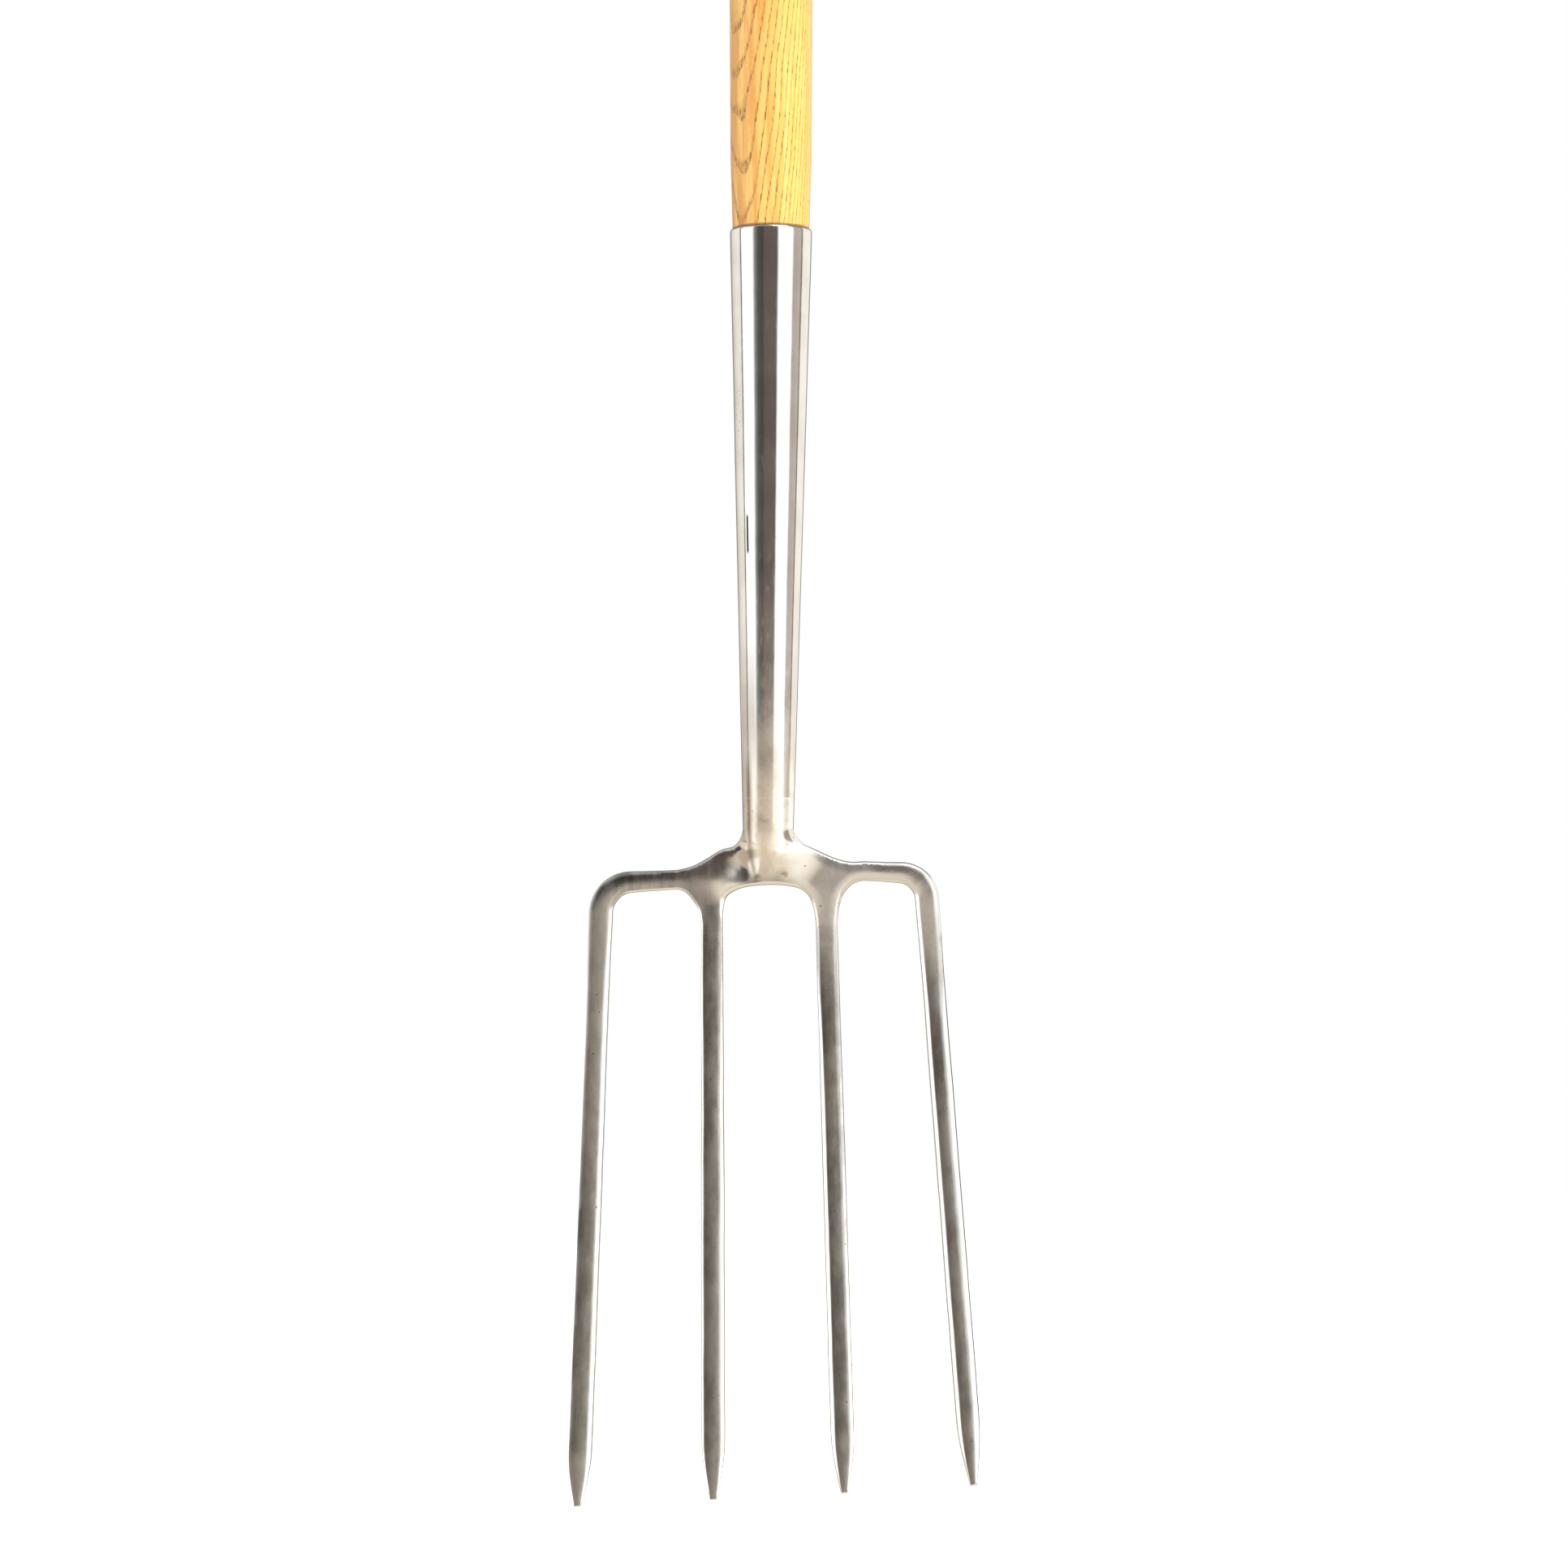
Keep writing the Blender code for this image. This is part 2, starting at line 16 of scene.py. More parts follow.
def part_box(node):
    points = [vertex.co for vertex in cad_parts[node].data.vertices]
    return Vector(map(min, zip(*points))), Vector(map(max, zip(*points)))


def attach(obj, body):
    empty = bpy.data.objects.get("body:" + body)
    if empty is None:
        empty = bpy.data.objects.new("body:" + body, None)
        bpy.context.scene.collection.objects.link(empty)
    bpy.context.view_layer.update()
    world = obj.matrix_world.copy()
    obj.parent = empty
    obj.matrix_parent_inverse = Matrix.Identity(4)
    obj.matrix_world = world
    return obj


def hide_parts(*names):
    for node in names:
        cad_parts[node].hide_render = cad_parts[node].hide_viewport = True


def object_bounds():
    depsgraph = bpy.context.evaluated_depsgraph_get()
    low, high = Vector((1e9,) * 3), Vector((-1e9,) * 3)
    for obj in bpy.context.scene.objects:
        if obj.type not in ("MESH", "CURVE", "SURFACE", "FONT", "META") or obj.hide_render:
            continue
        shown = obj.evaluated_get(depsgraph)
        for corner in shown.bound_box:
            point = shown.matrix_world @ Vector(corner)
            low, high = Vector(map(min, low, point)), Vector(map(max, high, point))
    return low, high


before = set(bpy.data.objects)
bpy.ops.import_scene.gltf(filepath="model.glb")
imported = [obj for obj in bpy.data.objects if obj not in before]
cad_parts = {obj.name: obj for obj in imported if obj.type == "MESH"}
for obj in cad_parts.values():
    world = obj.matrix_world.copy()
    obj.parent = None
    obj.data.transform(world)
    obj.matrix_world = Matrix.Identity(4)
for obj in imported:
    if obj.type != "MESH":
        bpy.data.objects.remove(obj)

CAD_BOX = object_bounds()
MM = 0.001

# Head: the same driving sizes as the CAD part
TINE_WIDTH = 0.0106
TINE_THICKNESS = 0.0092
BEVEL_DEPTH = 0.0020
BACK_BEVEL = 0.0023
TINE_FORWARD = 0.010
SPEAR_TIP = 0.30
SPEAR_FLATNESS = 0.85  # how far the spear points' front stays in line with the bar's
ROOT_Z = 0.270
ROOT_SCALE = 0.94
FULL_SCALE = 1.04
ARM_SCALE = 0.85
ARM_X = 0.044
ARM_BLEND = (0.0375, 0.055)  # distances from the middle where the crosshead turns into the outer bars
INNER_BLEND = (0.262, 0.282)  # heights where the crosshead turns into the inner bars
PLATE_HALF = 0.0044
CROWN = 0.00060  # how much the bars' faces rise from the edge to the middle, and over what distance
CROWN_REACH = 0.0053
PLATE_TOP = (0.3040, 0.3170)  # heights where the plate thins out into the neck
SIDES_CLOSE = (0.3120, 0.3170)  # heights where the wall between front and back narrows to nothing
EDGE_STEP = 0.0009
NECK_Z = 0.3140
NECK_X = -0.0013
NECK_RADIUS = 0.0119
JOIN_Z = 0.3300  # where the head's surface hands over to the socket's

# Each tine's centre line (x, z) from the crosshead out, corner radius and spear length. Its left and right
# bevels are in mm, at the crosshead's end and along the bar. Its twist is in degrees.
TINES = {
    "outer_left": {"run": ((-ARM_X, 0.2914), (-0.0793, 0.2896), (-0.0900, 0.0)), "radius": 0.015,
                   "spear": 0.026, "top_bevels": (0.5, 1.5), "bevels": (0.4, 2.3), "twist": 1.0},
    "inner_left": {"run": ((-0.0277, ROOT_Z), (-0.0268, 0.003)),
                   "spear": 0.028, "top_bevels": (1.0, 1.5), "bevels": (1.3, 2.3), "twist": 2.0},
    "inner_right": {"run": ((0.0261, ROOT_Z), (0.0342, 0.006)),
                    "spear": 0.029, "top_bevels": (1.4, 1.4), "bevels": (2.2, 2.1), "twist": 1.0},
    "outer_right": {"run": ((ARM_X, 0.2955), (0.0723, 0.2942), (0.0943, 0.0095)), "radius": 0.013,
                    "spear": 0.032, "top_bevels": (1.6, 0.7), "bevels": (2.3, 3.2), "twist": 1.5},
}
CROSSHEAD = {  # (x, z, bevel width in mm) along the crosshead's edges
    "left_shoulder": ((-0.0146, 0.3106, 1.0), (-0.0174, 0.3073, 0.8), (-0.0236, 0.3053, 0.6),
                      (-0.0300, 0.3014, 0.6), (-0.0368, 0.2978, 0.6)),
    "left_arch": ((-0.0402, 0.2856, 1.5), (-0.0366, 0.2818, 1.4), (-0.0339, 0.2772, 1.0)),
    "middle_arch": ((-0.0223, 0.2780, 2.0), (-0.0206, 0.2836, 2.6), (-0.0150, 0.2871, 2.0),
                    (-0.0074, 0.2886, 1.9), (-0.0010, 0.2890, 2.3), (0.0070, 0.2887, 1.9),
                    (0.0140, 0.2870, 1.6), (0.0178, 0.2836, 1.5), (0.0200, 0.2775, 1.3)),
    "right_arch": ((0.0322, 0.2795, 1.4), (0.0343, 0.2852, 1.6), (0.0388, 0.2897, 1.6)),
    "right_shoulder": ((0.0372, 0.2998, 0.6), (0.0306, 0.3013, 0.6), (0.0206, 0.3057, 0.7),
                       (0.0152, 0.3083, 0.9), (0.0121, 0.3118, 1.1)),
}

# The tongue that runs down from the socket over the crosshead
TONGUE = (  # height and half width
    (0.2860, 0.0040), (0.2890, 0.0056), (0.2926, 0.0068), (0.2980, 0.0089), (0.3030, 0.0106), (0.3075, 0.0115),
    (0.3110, 0.0118), (0.3180, 0.0120),
)
TONGUE_TOP = (0.3080, 0.3150)  # heights where the tongue turns into the round neck
TONGUE_BEND_LEFT = 0.82  # share of the tube's radius where the tongue's flanks go straight
TONGUE_BEND_RIGHT = 0.45
TONGUE_LIP = (0.2935, 0.3020)  # heights where the arch's bevel stops cutting into the tongue
TONGUE_PITS = ((-0.0060, 0.2925), (0.0062, 0.2938))
PIT_REACH = 0.0011
PIT_DEPTH = 0.0003
FILLET = 0.0078  # reach of the blend between the tongue and the plate
FILLET_TOP = (0.3050, 0.3170)  # heights where that blend fades out
VALLEY = (-0.0130, 0.2965, 0.0052, 0.00100)  # x, z, reach and depth of the hollow left of the tongue

# Socket
TUBE_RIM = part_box("socket")[1].z
RIM_RADIUS = 0.0193
RIM_HEIGHT = 0.0017  # the rolled edge at the mouth
RIM_INSET = 0.0007
SOCKET_WALL = 0.0010
SOCKET_STEPS = 192

# Handle
SHAFT_ROUND = (  # height and radius
    (0.352, 0.0100), (0.5960, 0.0180), (0.600, 0.0181), (0.630, 0.0190), (0.704, 0.0194), (0.905, 0.0194),
)
SHAFT_END = 0.354  # the shaft is turned round above this height, up to the throat
THROAT = (0.885, 0.905)  # heights where the round shaft turns into the yoke
ARM_PATH_LOW_X = 0.0092
ARM_PATH_HIGH_X = 0.0555
ARM_BEND_Z = 0.913
ARM_BEND_LENGTH = 0.147
WOOD_VOXEL = 0.0013
GRIP_Z = 1.082
GRIP_HALF = 0.0452
GRIP_BORE = 0.0033
GRIP_END_RADIUS = 0.0150
GRIP_SWELL = 0.0020
GRIP_ROUNDING = 0.0014

# Fasteners
THROAT_Z = 0.912
RODS = {  # visual piece, its CAD node, and sizes
    "rod_grip": ("grip_rod", {"radius": 0.0030, "seat": 0.0673, "head_radius": 0.0055, "head_height": 0.0022,
                              "z": GRIP_Z}),
    "rivet_throat": ("throat_rivet", {"radius": 0.0024, "seat": 0.0192, "head_radius": 0.0042,
                                      "head_height": 0.0018, "z": THROAT_Z}),
}
WASHERS = {
    "grip": {"bore": 0.0033, "radius": 0.0090, "thickness": 0.0012, "inner_x": 0.0658, "z": GRIP_Z},
    "throat": {"bore": 0.0027, "radius": 0.0065, "thickness": 0.0010, "inner_x": 0.0179, "z": THROAT_Z},
}
SCREW_HEIGHTS = {"upper": 0.575, "lower": 0.520}
SCREW_HEAD_RADIUS = 0.0042
SCREW_HEAD_HEIGHT = 0.0021
SCREW_RADIUS = 0.0020
SCREW_LENGTH = 0.022
SCREW_POINT = 0.004
SLOT_WIDTH = 0.0010
SLOT_DEPTH = 0.0009


def smoothstep(low, high, value):
    share = np.clip((value - low) / (high - low), 0, 1)
    return share * share * (3 - 2 * share)


def smooth_max(a, b, reach):
    near = np.maximum(reach - np.abs(a - b), 0) / reach
    return np.maximum(a, b) + near * near * reach / 4


def noise_at(points, size, seed=0.0):
    """Smooth noise from -1 to 1 at an array of points, with features of that size in metres."""
    shift = Vector((seed * 7.3, seed * 3.1, seed * 5.7))
    return np.array([noise.noise(Vector(p) / size + shift) for p in points])


# ---- the head's outline

def straight(start, end, step):
    count = max(1, round(math.dist(start, end) / step))
    return [tuple(np.array(start) + (np.array(end) - np.array(start)) * i / count) for i in range(count + 1)]


def corner_arc(start, corner, end, radius, count):
    """Points of the arc that rounds a corner between two straight runs."""
    corner = np.array(corner)
    a = np.array(start) - corner
    b = np.array(end) - corner
    a = a / np.linalg.norm(a)
    b = b / np.linalg.norm(b)
    half = math.acos(a @ b) / 2
    reach = radius / math.tan(half)
    middle = (a + b) / np.linalg.norm(a + b)
    centre = corner + middle * radius / math.sin(half)
    first = math.atan2(*(corner + a * reach - centre)[::-1])
    last = math.atan2(*(corner + b * reach - centre)[::-1])
    turn = (last - first + math.pi) % (2 * math.pi) - math.pi
    angles = [first + turn * i / count for i in range(count + 1)]
    return [(centre[0] + radius * math.cos(t), centre[1] + radius * math.sin(t)) for t in angles]


def tine_line(tine):
    """A tine's centre line and the bar's size along it, as (n, 2) and (n,) arrays."""
    run = tine["run"]
    if len(run) == 2:
        points = straight(run[0], run[1], 0.002)
    else:
        arc = corner_arc(*run, tine["radius"], 18)
        points = straight(run[0], arc[0], 0.0015)[:-1] + arc + straight(arc[-1], run[2], 0.002)[1:]
    line = np.array(points)
    tip = line[-1]
    down = 1 - np.minimum(1, (line[:, 1] - tip[1]) / ROOT_Z)
    body = ROOT_SCALE + (FULL_SCALE - ROOT_SCALE) * np.minimum(1, down * 1.3) ** 0.6
    left = np.linalg.norm(line - tip, axis=1) / tine["spear"]
    size = body * (SPEAR_TIP + (1 - SPEAR_TIP) * np.sin(np.minimum(1, left) * math.pi / 2))
    if len(run) == 3:
        arc = np.array(arc)
        fullest = abs(arc[len(arc) // 2][0])
        arm = line[:, 1] >= arc[-1][1]
        along = np.minimum(1, (np.abs(line[:, 0]) - ARM_X) / (fullest - ARM_X))
        below = smoothstep(0, 0.045, arc[-1][1] - line[:, 1])
        on_arm = ARM_SCALE + (FULL_SCALE - ARM_SCALE) * along**2
        size = np.where(arm, on_arm, FULL_SCALE + (size - FULL_SCALE) * below)
    return line, size


def unit_tangent(line):
    tangent = np.gradient(line, axis=0)
    return tangent / np.linalg.norm(tangent, axis=1)[:, None]


def tine_sides(tine, line, size, seed):
    """The bar's left and right edges, seen from the front with the tip down, as (x, z, bevel width) rows."""
    tangent = unit_tangent(line)
    right_hand = np.stack([-tangent[:, 1], tangent[:, 0]], axis=1)
    flow = np.concatenate([[0], np.cumsum(np.linalg.norm(np.diff(line, axis=0), axis=1))])
    arm_length = 0.035 if len(tine["run"]) == 3 else 0.010
    widening = smoothstep(arm_length, 0.095, flow)
    sides = []
    for sign, top, bevel in zip((-1, 1), tine["top_bevels"], tine["bevels"]):
        wobble = noise_at([(t, seed, sign) for t in flow], 0.030) * 0.00018
        wobble += noise_at([(t, seed + 9, sign) for t in flow], 0.011) * 0.00006
        half = TINE_WIDTH / 2 * size + wobble * smoothstep(0, 0.02, flow)
        edge = line + right_hand * (sign * half)[:, None]
        sides.append(np.column_stack([edge, (top + (bevel - top) * widening) * MM * size]))
    return sides


def through(points):
    """A Catmull-Rom curve through rows of (x, z, bevel width); the first and last rows only steer it."""
    rows = np.array(points, float)
    made = []
    for i in range(1, len(rows) - 2):
        a, b, c, d = rows[i - 1:i + 3]
        knots = [0.0]
        for p, q in ((a, b), (b, c), (c, d)):
            knots.append(knots[-1] + max(1e-6, math.dist(p[:2], q[:2])) ** 0.5)
        count = max(2, round(math.dist(b[:2], c[:2]) / EDGE_STEP))
        for t in np.linspace(knots[1], knots[2], count, endpoint=False):
            def blend(p, q, lo, hi):
                return p + (q - p) * (t - lo) / (hi - lo)
            ab = blend(a, b, knots[0], knots[1])
            bc = blend(b, c, knots[1], knots[2])
            cd = blend(c, d, knots[2], knots[3])
            abc = blend(ab, bc, knots[0], knots[2])
            bcd = blend(bc, cd, knots[1], knots[3])
            made.append(blend(abc, bcd, knots[1], knots[2]))
    return np.array(made)


def tube_axis_x(z):
    """X of the leaning socket's axis."""
    return NECK_X * np.clip((TUBE_RIM - z) / (TUBE_RIM - NECK_Z), 0, 1)


def tube_radius(z):
    """Outer radius of the socket, and of the tongue that runs on from it down over the crosshead."""
    cone = NECK_RADIUS + (RIM_RADIUS - NECK_RADIUS) * (z - NECK_Z) / (TUBE_RIM - NECK_Z)
    tongue = sum(np.interp(z + shift, *zip(*TONGUE)) for shift in np.linspace(-0.0030, 0.0030, 9)) / 9
    return tongue + (cone - tongue) * smoothstep(*TONGUE_TOP, z)


def tube_edge(side, zs):
    """The neck's left or right edge, as (x, z, bevel width) rows."""
    x = tube_axis_x(zs) + side * tube_radius(zs)
    return np.column_stack([x, zs, np.full(len(zs), 1.5 * MM)])


def head_outline():
    """The head's outline, anticlockwise from the neck's left edge as seen in front, and its tines' lines."""
    lines = {name: tine_line(tine) for name, tine in TINES.items()}
    climb = np.linspace(TONGUE_TOP[1], JOIN_Z, 14)
    neck_left = tube_edge(-1, climb[::-1])
    neck_right = tube_edge(1, climb)

    def joined(before, edge, after):
        via = [(x, z, b * MM) for x, z, b in CROSSHEAD[edge]]
        return through([before[-2], before[-1], *via, after[0], after[1]])[1:]

    pieces = [neck_left]
    for i, (edge, name) in enumerate(zip(CROSSHEAD, TINES)):
        left, right = tine_sides(TINES[name], *lines[name], i * 3.7)
        pieces += [joined(pieces[-1], edge, left), left, right[::-1]]
    pieces += [joined(pieces[-1], "right_shoulder", neck_right), neck_right]
    return np.concatenate(pieces), lines


def inward(outline):
    """Mitred inward normals of the outline, whose first and last points end at the neck."""
    xz = outline[:, :2]
    step = np.diff(xz, axis=0)
    step /= np.linalg.norm(step, axis=1)[:, None]
    normal = np.stack([-step[:, 1], step[:, 0]], axis=1)
    before = np.vstack([normal[:1], normal])
    after = np.vstack([normal, normal[-1:]])
    both = before + after
    size = np.linalg.norm(both, axis=1)
    mitred = both / size[:, None] * np.minimum(2 / size, 1.5)[:, None]
    mitred[0], mitred[-1] = (1, 0), (-1, 0)
    return mitred


# ---- the head's thickness

def nearest_tine(points, lines):
    """Each point's nearest tine, the bar's size there, and how far right of its line the point is."""
    best = np.full(len(points), 1e9)
    which = np.zeros(len(points), int)
    size = np.ones(len(points))
    offset = np.zeros(len(points))
    for k, (line, scale) in enumerate(lines.values()):
        gap = np.linalg.norm(points[:, None, :] - line[None, :, :], axis=2)
        i = gap.argmin(axis=1)
        near = gap[np.arange(len(points)), i]
        tangent = unit_tangent(line)
        off = points - line[i]
        right = -(off[:, 0] * tangent[i, 1] - off[:, 1] * tangent[i, 0])
        closer = near < best
        best = np.where(closer, near, best)
        which = np.where(closer, k, which)
        size = np.where(closer, scale[i], size)
        offset = np.where(closer, right, offset)
    return which, size, offset


def is_outer(which):
    return (which == 0) | (which == len(TINES) - 1)


def half_thickness(points, which, size):
    """Half the plate's or bar's thickness, blended from the crosshead into each bar."""
    x, z = points.T
    bar = TINE_THICKNESS / 2 * size
    outer = is_outer(which)
    to_outer = np.where(outer, smoothstep(*ARM_BLEND, np.abs(x)), 0)
    to_inner = np.where(outer, 0, 1 - smoothstep(*INNER_BLEND, z))
    share = np.where(z < INNER_BLEND[0], 1, np.maximum(to_outer, to_inner))
    return PLATE_HALF + (bar - PLATE_HALF) * share


def tube_height(x, z, depth):
    """Height of the socket's round wall, and the tongue below it, over the mid-plane."""
    radius = tube_radius(z)
    in_neck = smoothstep(*TONGUE_TOP, z)
    away = np.abs(x - tube_axis_x(z))
    away = away + (np.maximum(away, radius - depth) - away) * smoothstep(0.3085, 0.3150, z)
    ratio = away / radius
    arch = np.sqrt(1 - np.minimum(ratio, 1) ** 2)
    to_right = smoothstep(-0.004, 0.004, x - tube_axis_x(z))
    bend = TONGUE_BEND_LEFT + (TONGUE_BEND_RIGHT - TONGUE_BEND_LEFT) * to_right
    bend_height = np.sqrt(1 - bend**2)
    flank = bend_height - bend / bend_height * (ratio - bend)
    tongue = np.where(ratio < bend, arch, flank)
    full = np.where(ratio < 1, arch, 1.2 * (1 - ratio))
    return radius * (tongue + (full - tongue) * in_neck)


def surface_height(points, depth, bevel, half, edge_share):
    """Height of the front or back surface over the mid-plane. Depth is from the outline inwards."""
    x, z = points.T
    drop = BEVEL_DEPTH * half / (TINE_THICKNESS / 2)
    side = half - drop
    crown = CROWN * np.maximum(0, 1 - depth / CROWN_REACH) ** 2
    plate = side + drop * edge_share - crown * np.minimum(1, depth / bevel)
    plate = plate * (1 - smoothstep(*PLATE_TOP, z))
    tube = tube_height(x, z, depth)
    over_lip = smoothstep(*TONGUE_LIP, z)
    lipped = np.where(tube > side, side + (tube - side) * edge_share, tube)
    tube = lipped + (tube - lipped) * over_lip
    fill = FILLET * (1 - smoothstep(*FILLET_TOP, z)) * (edge_share + (1 - edge_share) * over_lip)
    joined = smooth_max(plate, tube, 0.0001 + fill)
    valley_x, valley_z, reach, deep = VALLEY
    joined = joined - deep * edge_share * np.exp(-((x - valley_x) ** 2 + (z - valley_z) ** 2) / reach**2)
    for px, pz in TONGUE_PITS:
        joined = joined - PIT_DEPTH * np.exp(-((x - px) ** 2 + (z - pz) ** 2) / PIT_REACH**2)
    return np.where(edge_share > 0, joined, joined * (1 - smoothstep(*SIDES_CLOSE, z)))


BEVEL_LEVELS = (  # share of the bevel's width from the edge, and share of its rise there
    (0.0, 0.0), (0.05, 0.11), (0.18, 0.24), (0.40, 0.44), (0.65, 0.68), (0.88, 0.89), (1.0, 0.965), (1.18, 1.0),
)


def new_object(name, data):
    obj = bpy.data.objects.new(name, data)
    bpy.context.scene.collection.objects.link(obj)
    return obj


def new_piece(name, vertices, faces):
    mesh = bpy.data.meshes.new(name)
    mesh.from_pydata([tuple(v) for v in vertices], [], faces)
    mesh.validate()
    obj = new_object(name, mesh)
    mesh.shade_smooth()
    return obj


def weld(obj):
    """Joins vertices that meet, and closes what stays open with a sharp-edged face."""
    form = bmesh.new()
    form.from_mesh(obj.data)
    bmesh.ops.remove_doubles(form, verts=form.verts, dist=1e-6)
    open_edges = [edge for edge in form.edges if edge.is_boundary]
    if open_edges:
        bmesh.ops.holes_fill(form, edges=open_edges, sides=0)
    for edge in open_edges:
        edge.smooth = False
    bmesh.ops.recalc_face_normals(form, faces=form.faces)
    form.to_mesh(obj.data)
    form.free()


def outline_depth(points, outline):
    """How far the points are from the outline's nearest point."""
    found = np.full(len(points), 1e9)
    for start in range(0, len(outline), 300):
        block = outline[start:start + 300, :2]
        gap = np.linalg.norm(points[:, None, :] - block[None, :, :], axis=2).min(axis=1)
        found = np.minimum(found, gap)
    return found


def inside(points, polygon):
    """Which points are inside a polygon."""
    x, z = points.T
    found = np.zeros(len(points), bool)
    ends = np.roll(polygon, -1, axis=0)
    for (ax, az), (bx, bz) in zip(polygon, ends):
        crosses = (az > z) != (bz > z)
        if abs(bz - az) > 1e-12:
            found ^= crosses & (x < ax + (z - az) * (bx - ax) / (bz - az))
    return found


def staggered_grid(half_width, low, high, step, shift):
    """Points in rows, with every second row shifted to the right."""
    x, z = np.meshgrid(np.arange(-half_width, half_width + 0.0001, step), np.arange(low, high, step))
    x[1::2] += shift
    return np.column_stack([x.ravel(), z.ravel()])


def interior_seeds(ring, lines):
    """Points that fill the innermost ring: a grid on the crosshead, finer in its middle, and tine rows."""
    grid = staggered_grid(0.050, 0.262, JOIN_Z - 0.0004, 0.0009, 0.00045)
    fine = staggered_grid(0.0225, 0.2860, 0.3190, 0.00055, 0.00027)
    coarse = (np.abs(grid[:, 0]) > 0.0228) | (grid[:, 1] < 0.2857) | (grid[:, 1] > 0.3192)
    seeds = [grid[coarse], fine]
    for line, size in lines.values():
        tangent = unit_tangent(line)
        across = np.stack([-tangent[:, 1], tangent[:, 0]], axis=1)
        for place in (-0.42, -0.21, 0, 0.21, 0.42):
            rows = line + across * (place * TINE_WIDTH * size)[:, None]
            keep = (rows[:, 1] < 0.261) | (np.abs(rows[:, 0]) > 0.0505)
            seeds.append(rows[keep])
    seeds = np.concatenate(seeds)
    seeds = seeds[inside(seeds, ring)]
    return seeds[outline_depth(seeds, ring) > 0.0004]


def head_face(outline, normals, lines, front):
    """The head's front or back: vertices, faces, and each vertex's bevel share, tine, bar size and offset."""
    count = len(outline)
    bevel = outline[:, 2]
    if not front:
        size = nearest_tine(outline[:, :2], lines)[1]
        bevel = BACK_BEVEL * np.minimum(1, size) ** 1.2
    points, depth = [], []
    for share, _ in BEVEL_LEVELS:
        points.append(outline[:, :2] + normals * (bevel * share)[:, None])
        depth.append(bevel * share)
    ring = points[-1]
    centre, radius = tube_axis_x(JOIN_Z), tube_radius(JOIN_Z)
    turns = np.arccos((ring[[-1, 0], 0] - centre) / radius)
    bridge_x = centre + radius * np.cos(np.linspace(*turns, 70)[1:-1])
    bridge = np.column_stack([bridge_x, np.full(len(bridge_x), JOIN_Z)])
    border = np.vstack([ring, bridge])
    loose = [Vector(p) for p in np.vstack([border, interior_seeds(border, lines)])]
    made, _, triangles, origins = delaunay_2d_cdt(loose, [], [list(range(len(border)))], 1, 1e-8)[:4]
    own, extra = [], []
    first = (len(BEVEL_LEVELS) - 1) * count
    for place, origin in zip(made, origins):
        on_ring = [k for k in origin if k < count]
        own.append(first + on_ring[0] if on_ring else first + count + len(extra))
        if not on_ring:
            extra.append(tuple(place))
    extra = np.array(extra)
    depth = np.concatenate(depth + [outline_depth(extra, outline)])
    points = np.concatenate(points + [extra])
    widths = np.concatenate([np.tile(bevel, len(BEVEL_LEVELS)), np.full(len(extra), 1.3 * MM)])
    rises = np.concatenate([np.repeat([rise for _, rise in BEVEL_LEVELS], count), np.ones(len(extra))])
    which, size, right = nearest_tine(points, lines)
    height = surface_height(points, depth, widths, half_thickness(points, which, size), rises)
    faces = [(low + i, low + i + 1, low + count + i + 1, low + count + i)
             for low in range(0, first, count) for i in range(count - 1)]
    faces += [[own[i] for i in triangle] for triangle in triangles]
    faces = [f for f in faces if len(set(f)) == len(f)]
    y = -height if front else height
    return np.column_stack([points[:, 0], y, points[:, 1]]), faces, 1 - rises, which, size, right


def forged(vertices, which, size, right):
    """Sweeps the tines forward, twists each a little, and adds the slow waves of hand work."""
    x, y, z = vertices.T.copy()
    twists = np.tan(np.radians([tine["twist"] for tine in TINES.values()]))[which]
    y = y + right * twists * (1 - smoothstep(0.235, 0.275, z))
    below = np.maximum(0, ROOT_Z - z) / ROOT_Z
    thinned = TINE_THICKNESS / 2 * np.maximum(0, 0.97 - size) * smoothstep(0.060, 0.040, z)
    y = y - TINE_FORWARD * below**2 - SPEAR_FLATNESS * thinned
    places = [(a, 0.0 if b < 0 else 0.5, c) for a, b, c in zip(x, y, z)]
    wave = noise_at(places, 0.022, 2) * 0.00010 + noise_at(places, 0.009, 5) * 0.00003
    calm = smoothstep(JOIN_Z - 0.002, JOIN_Z - 0.012, z)
    return np.column_stack([x, y + wave * calm, z])


def build_head():
    """The forged head: front and back, sewn together along the outline."""
    outline, lines = head_outline()
    keep = np.concatenate([[True], np.linalg.norm(np.diff(outline[:, :2], axis=0), axis=1) > 1e-5])
    outline = outline[keep]
    normals = inward(outline)
    front = head_face(outline, normals, lines, True)
    back = head_face(outline, normals, lines, False)
    shift = len(front[0])
    faces = list(front[1]) + [[shift + i for i in reversed(f)] for f in back[1]]
    faces += [(i + 1, i, shift + i, shift + i + 1) for i in range(len(outline) - 1)]
    vertices, bevel, which, size, right = (np.concatenate([front[k], back[k]]) for k in (0, 2, 3, 4, 5))
    vertices = forged(vertices, which, size, right)
    obj = new_piece("fork_head", vertices, faces)
    x, z = vertices[:, 0], vertices[:, 2]
    on_bar = np.where(is_outer(which), smoothstep(*ARM_BLEND, np.abs(x)), 1 - smoothstep(0.250, 0.280, z))
    for name, values in (("bevel", bevel), ("across", right / MM * on_bar)):
        obj.data.attributes.new(name, "FLOAT", "POINT").data.foreach_set("value", values.astype(np.float32))
    weld(obj)
    return obj


# ---- turned pieces

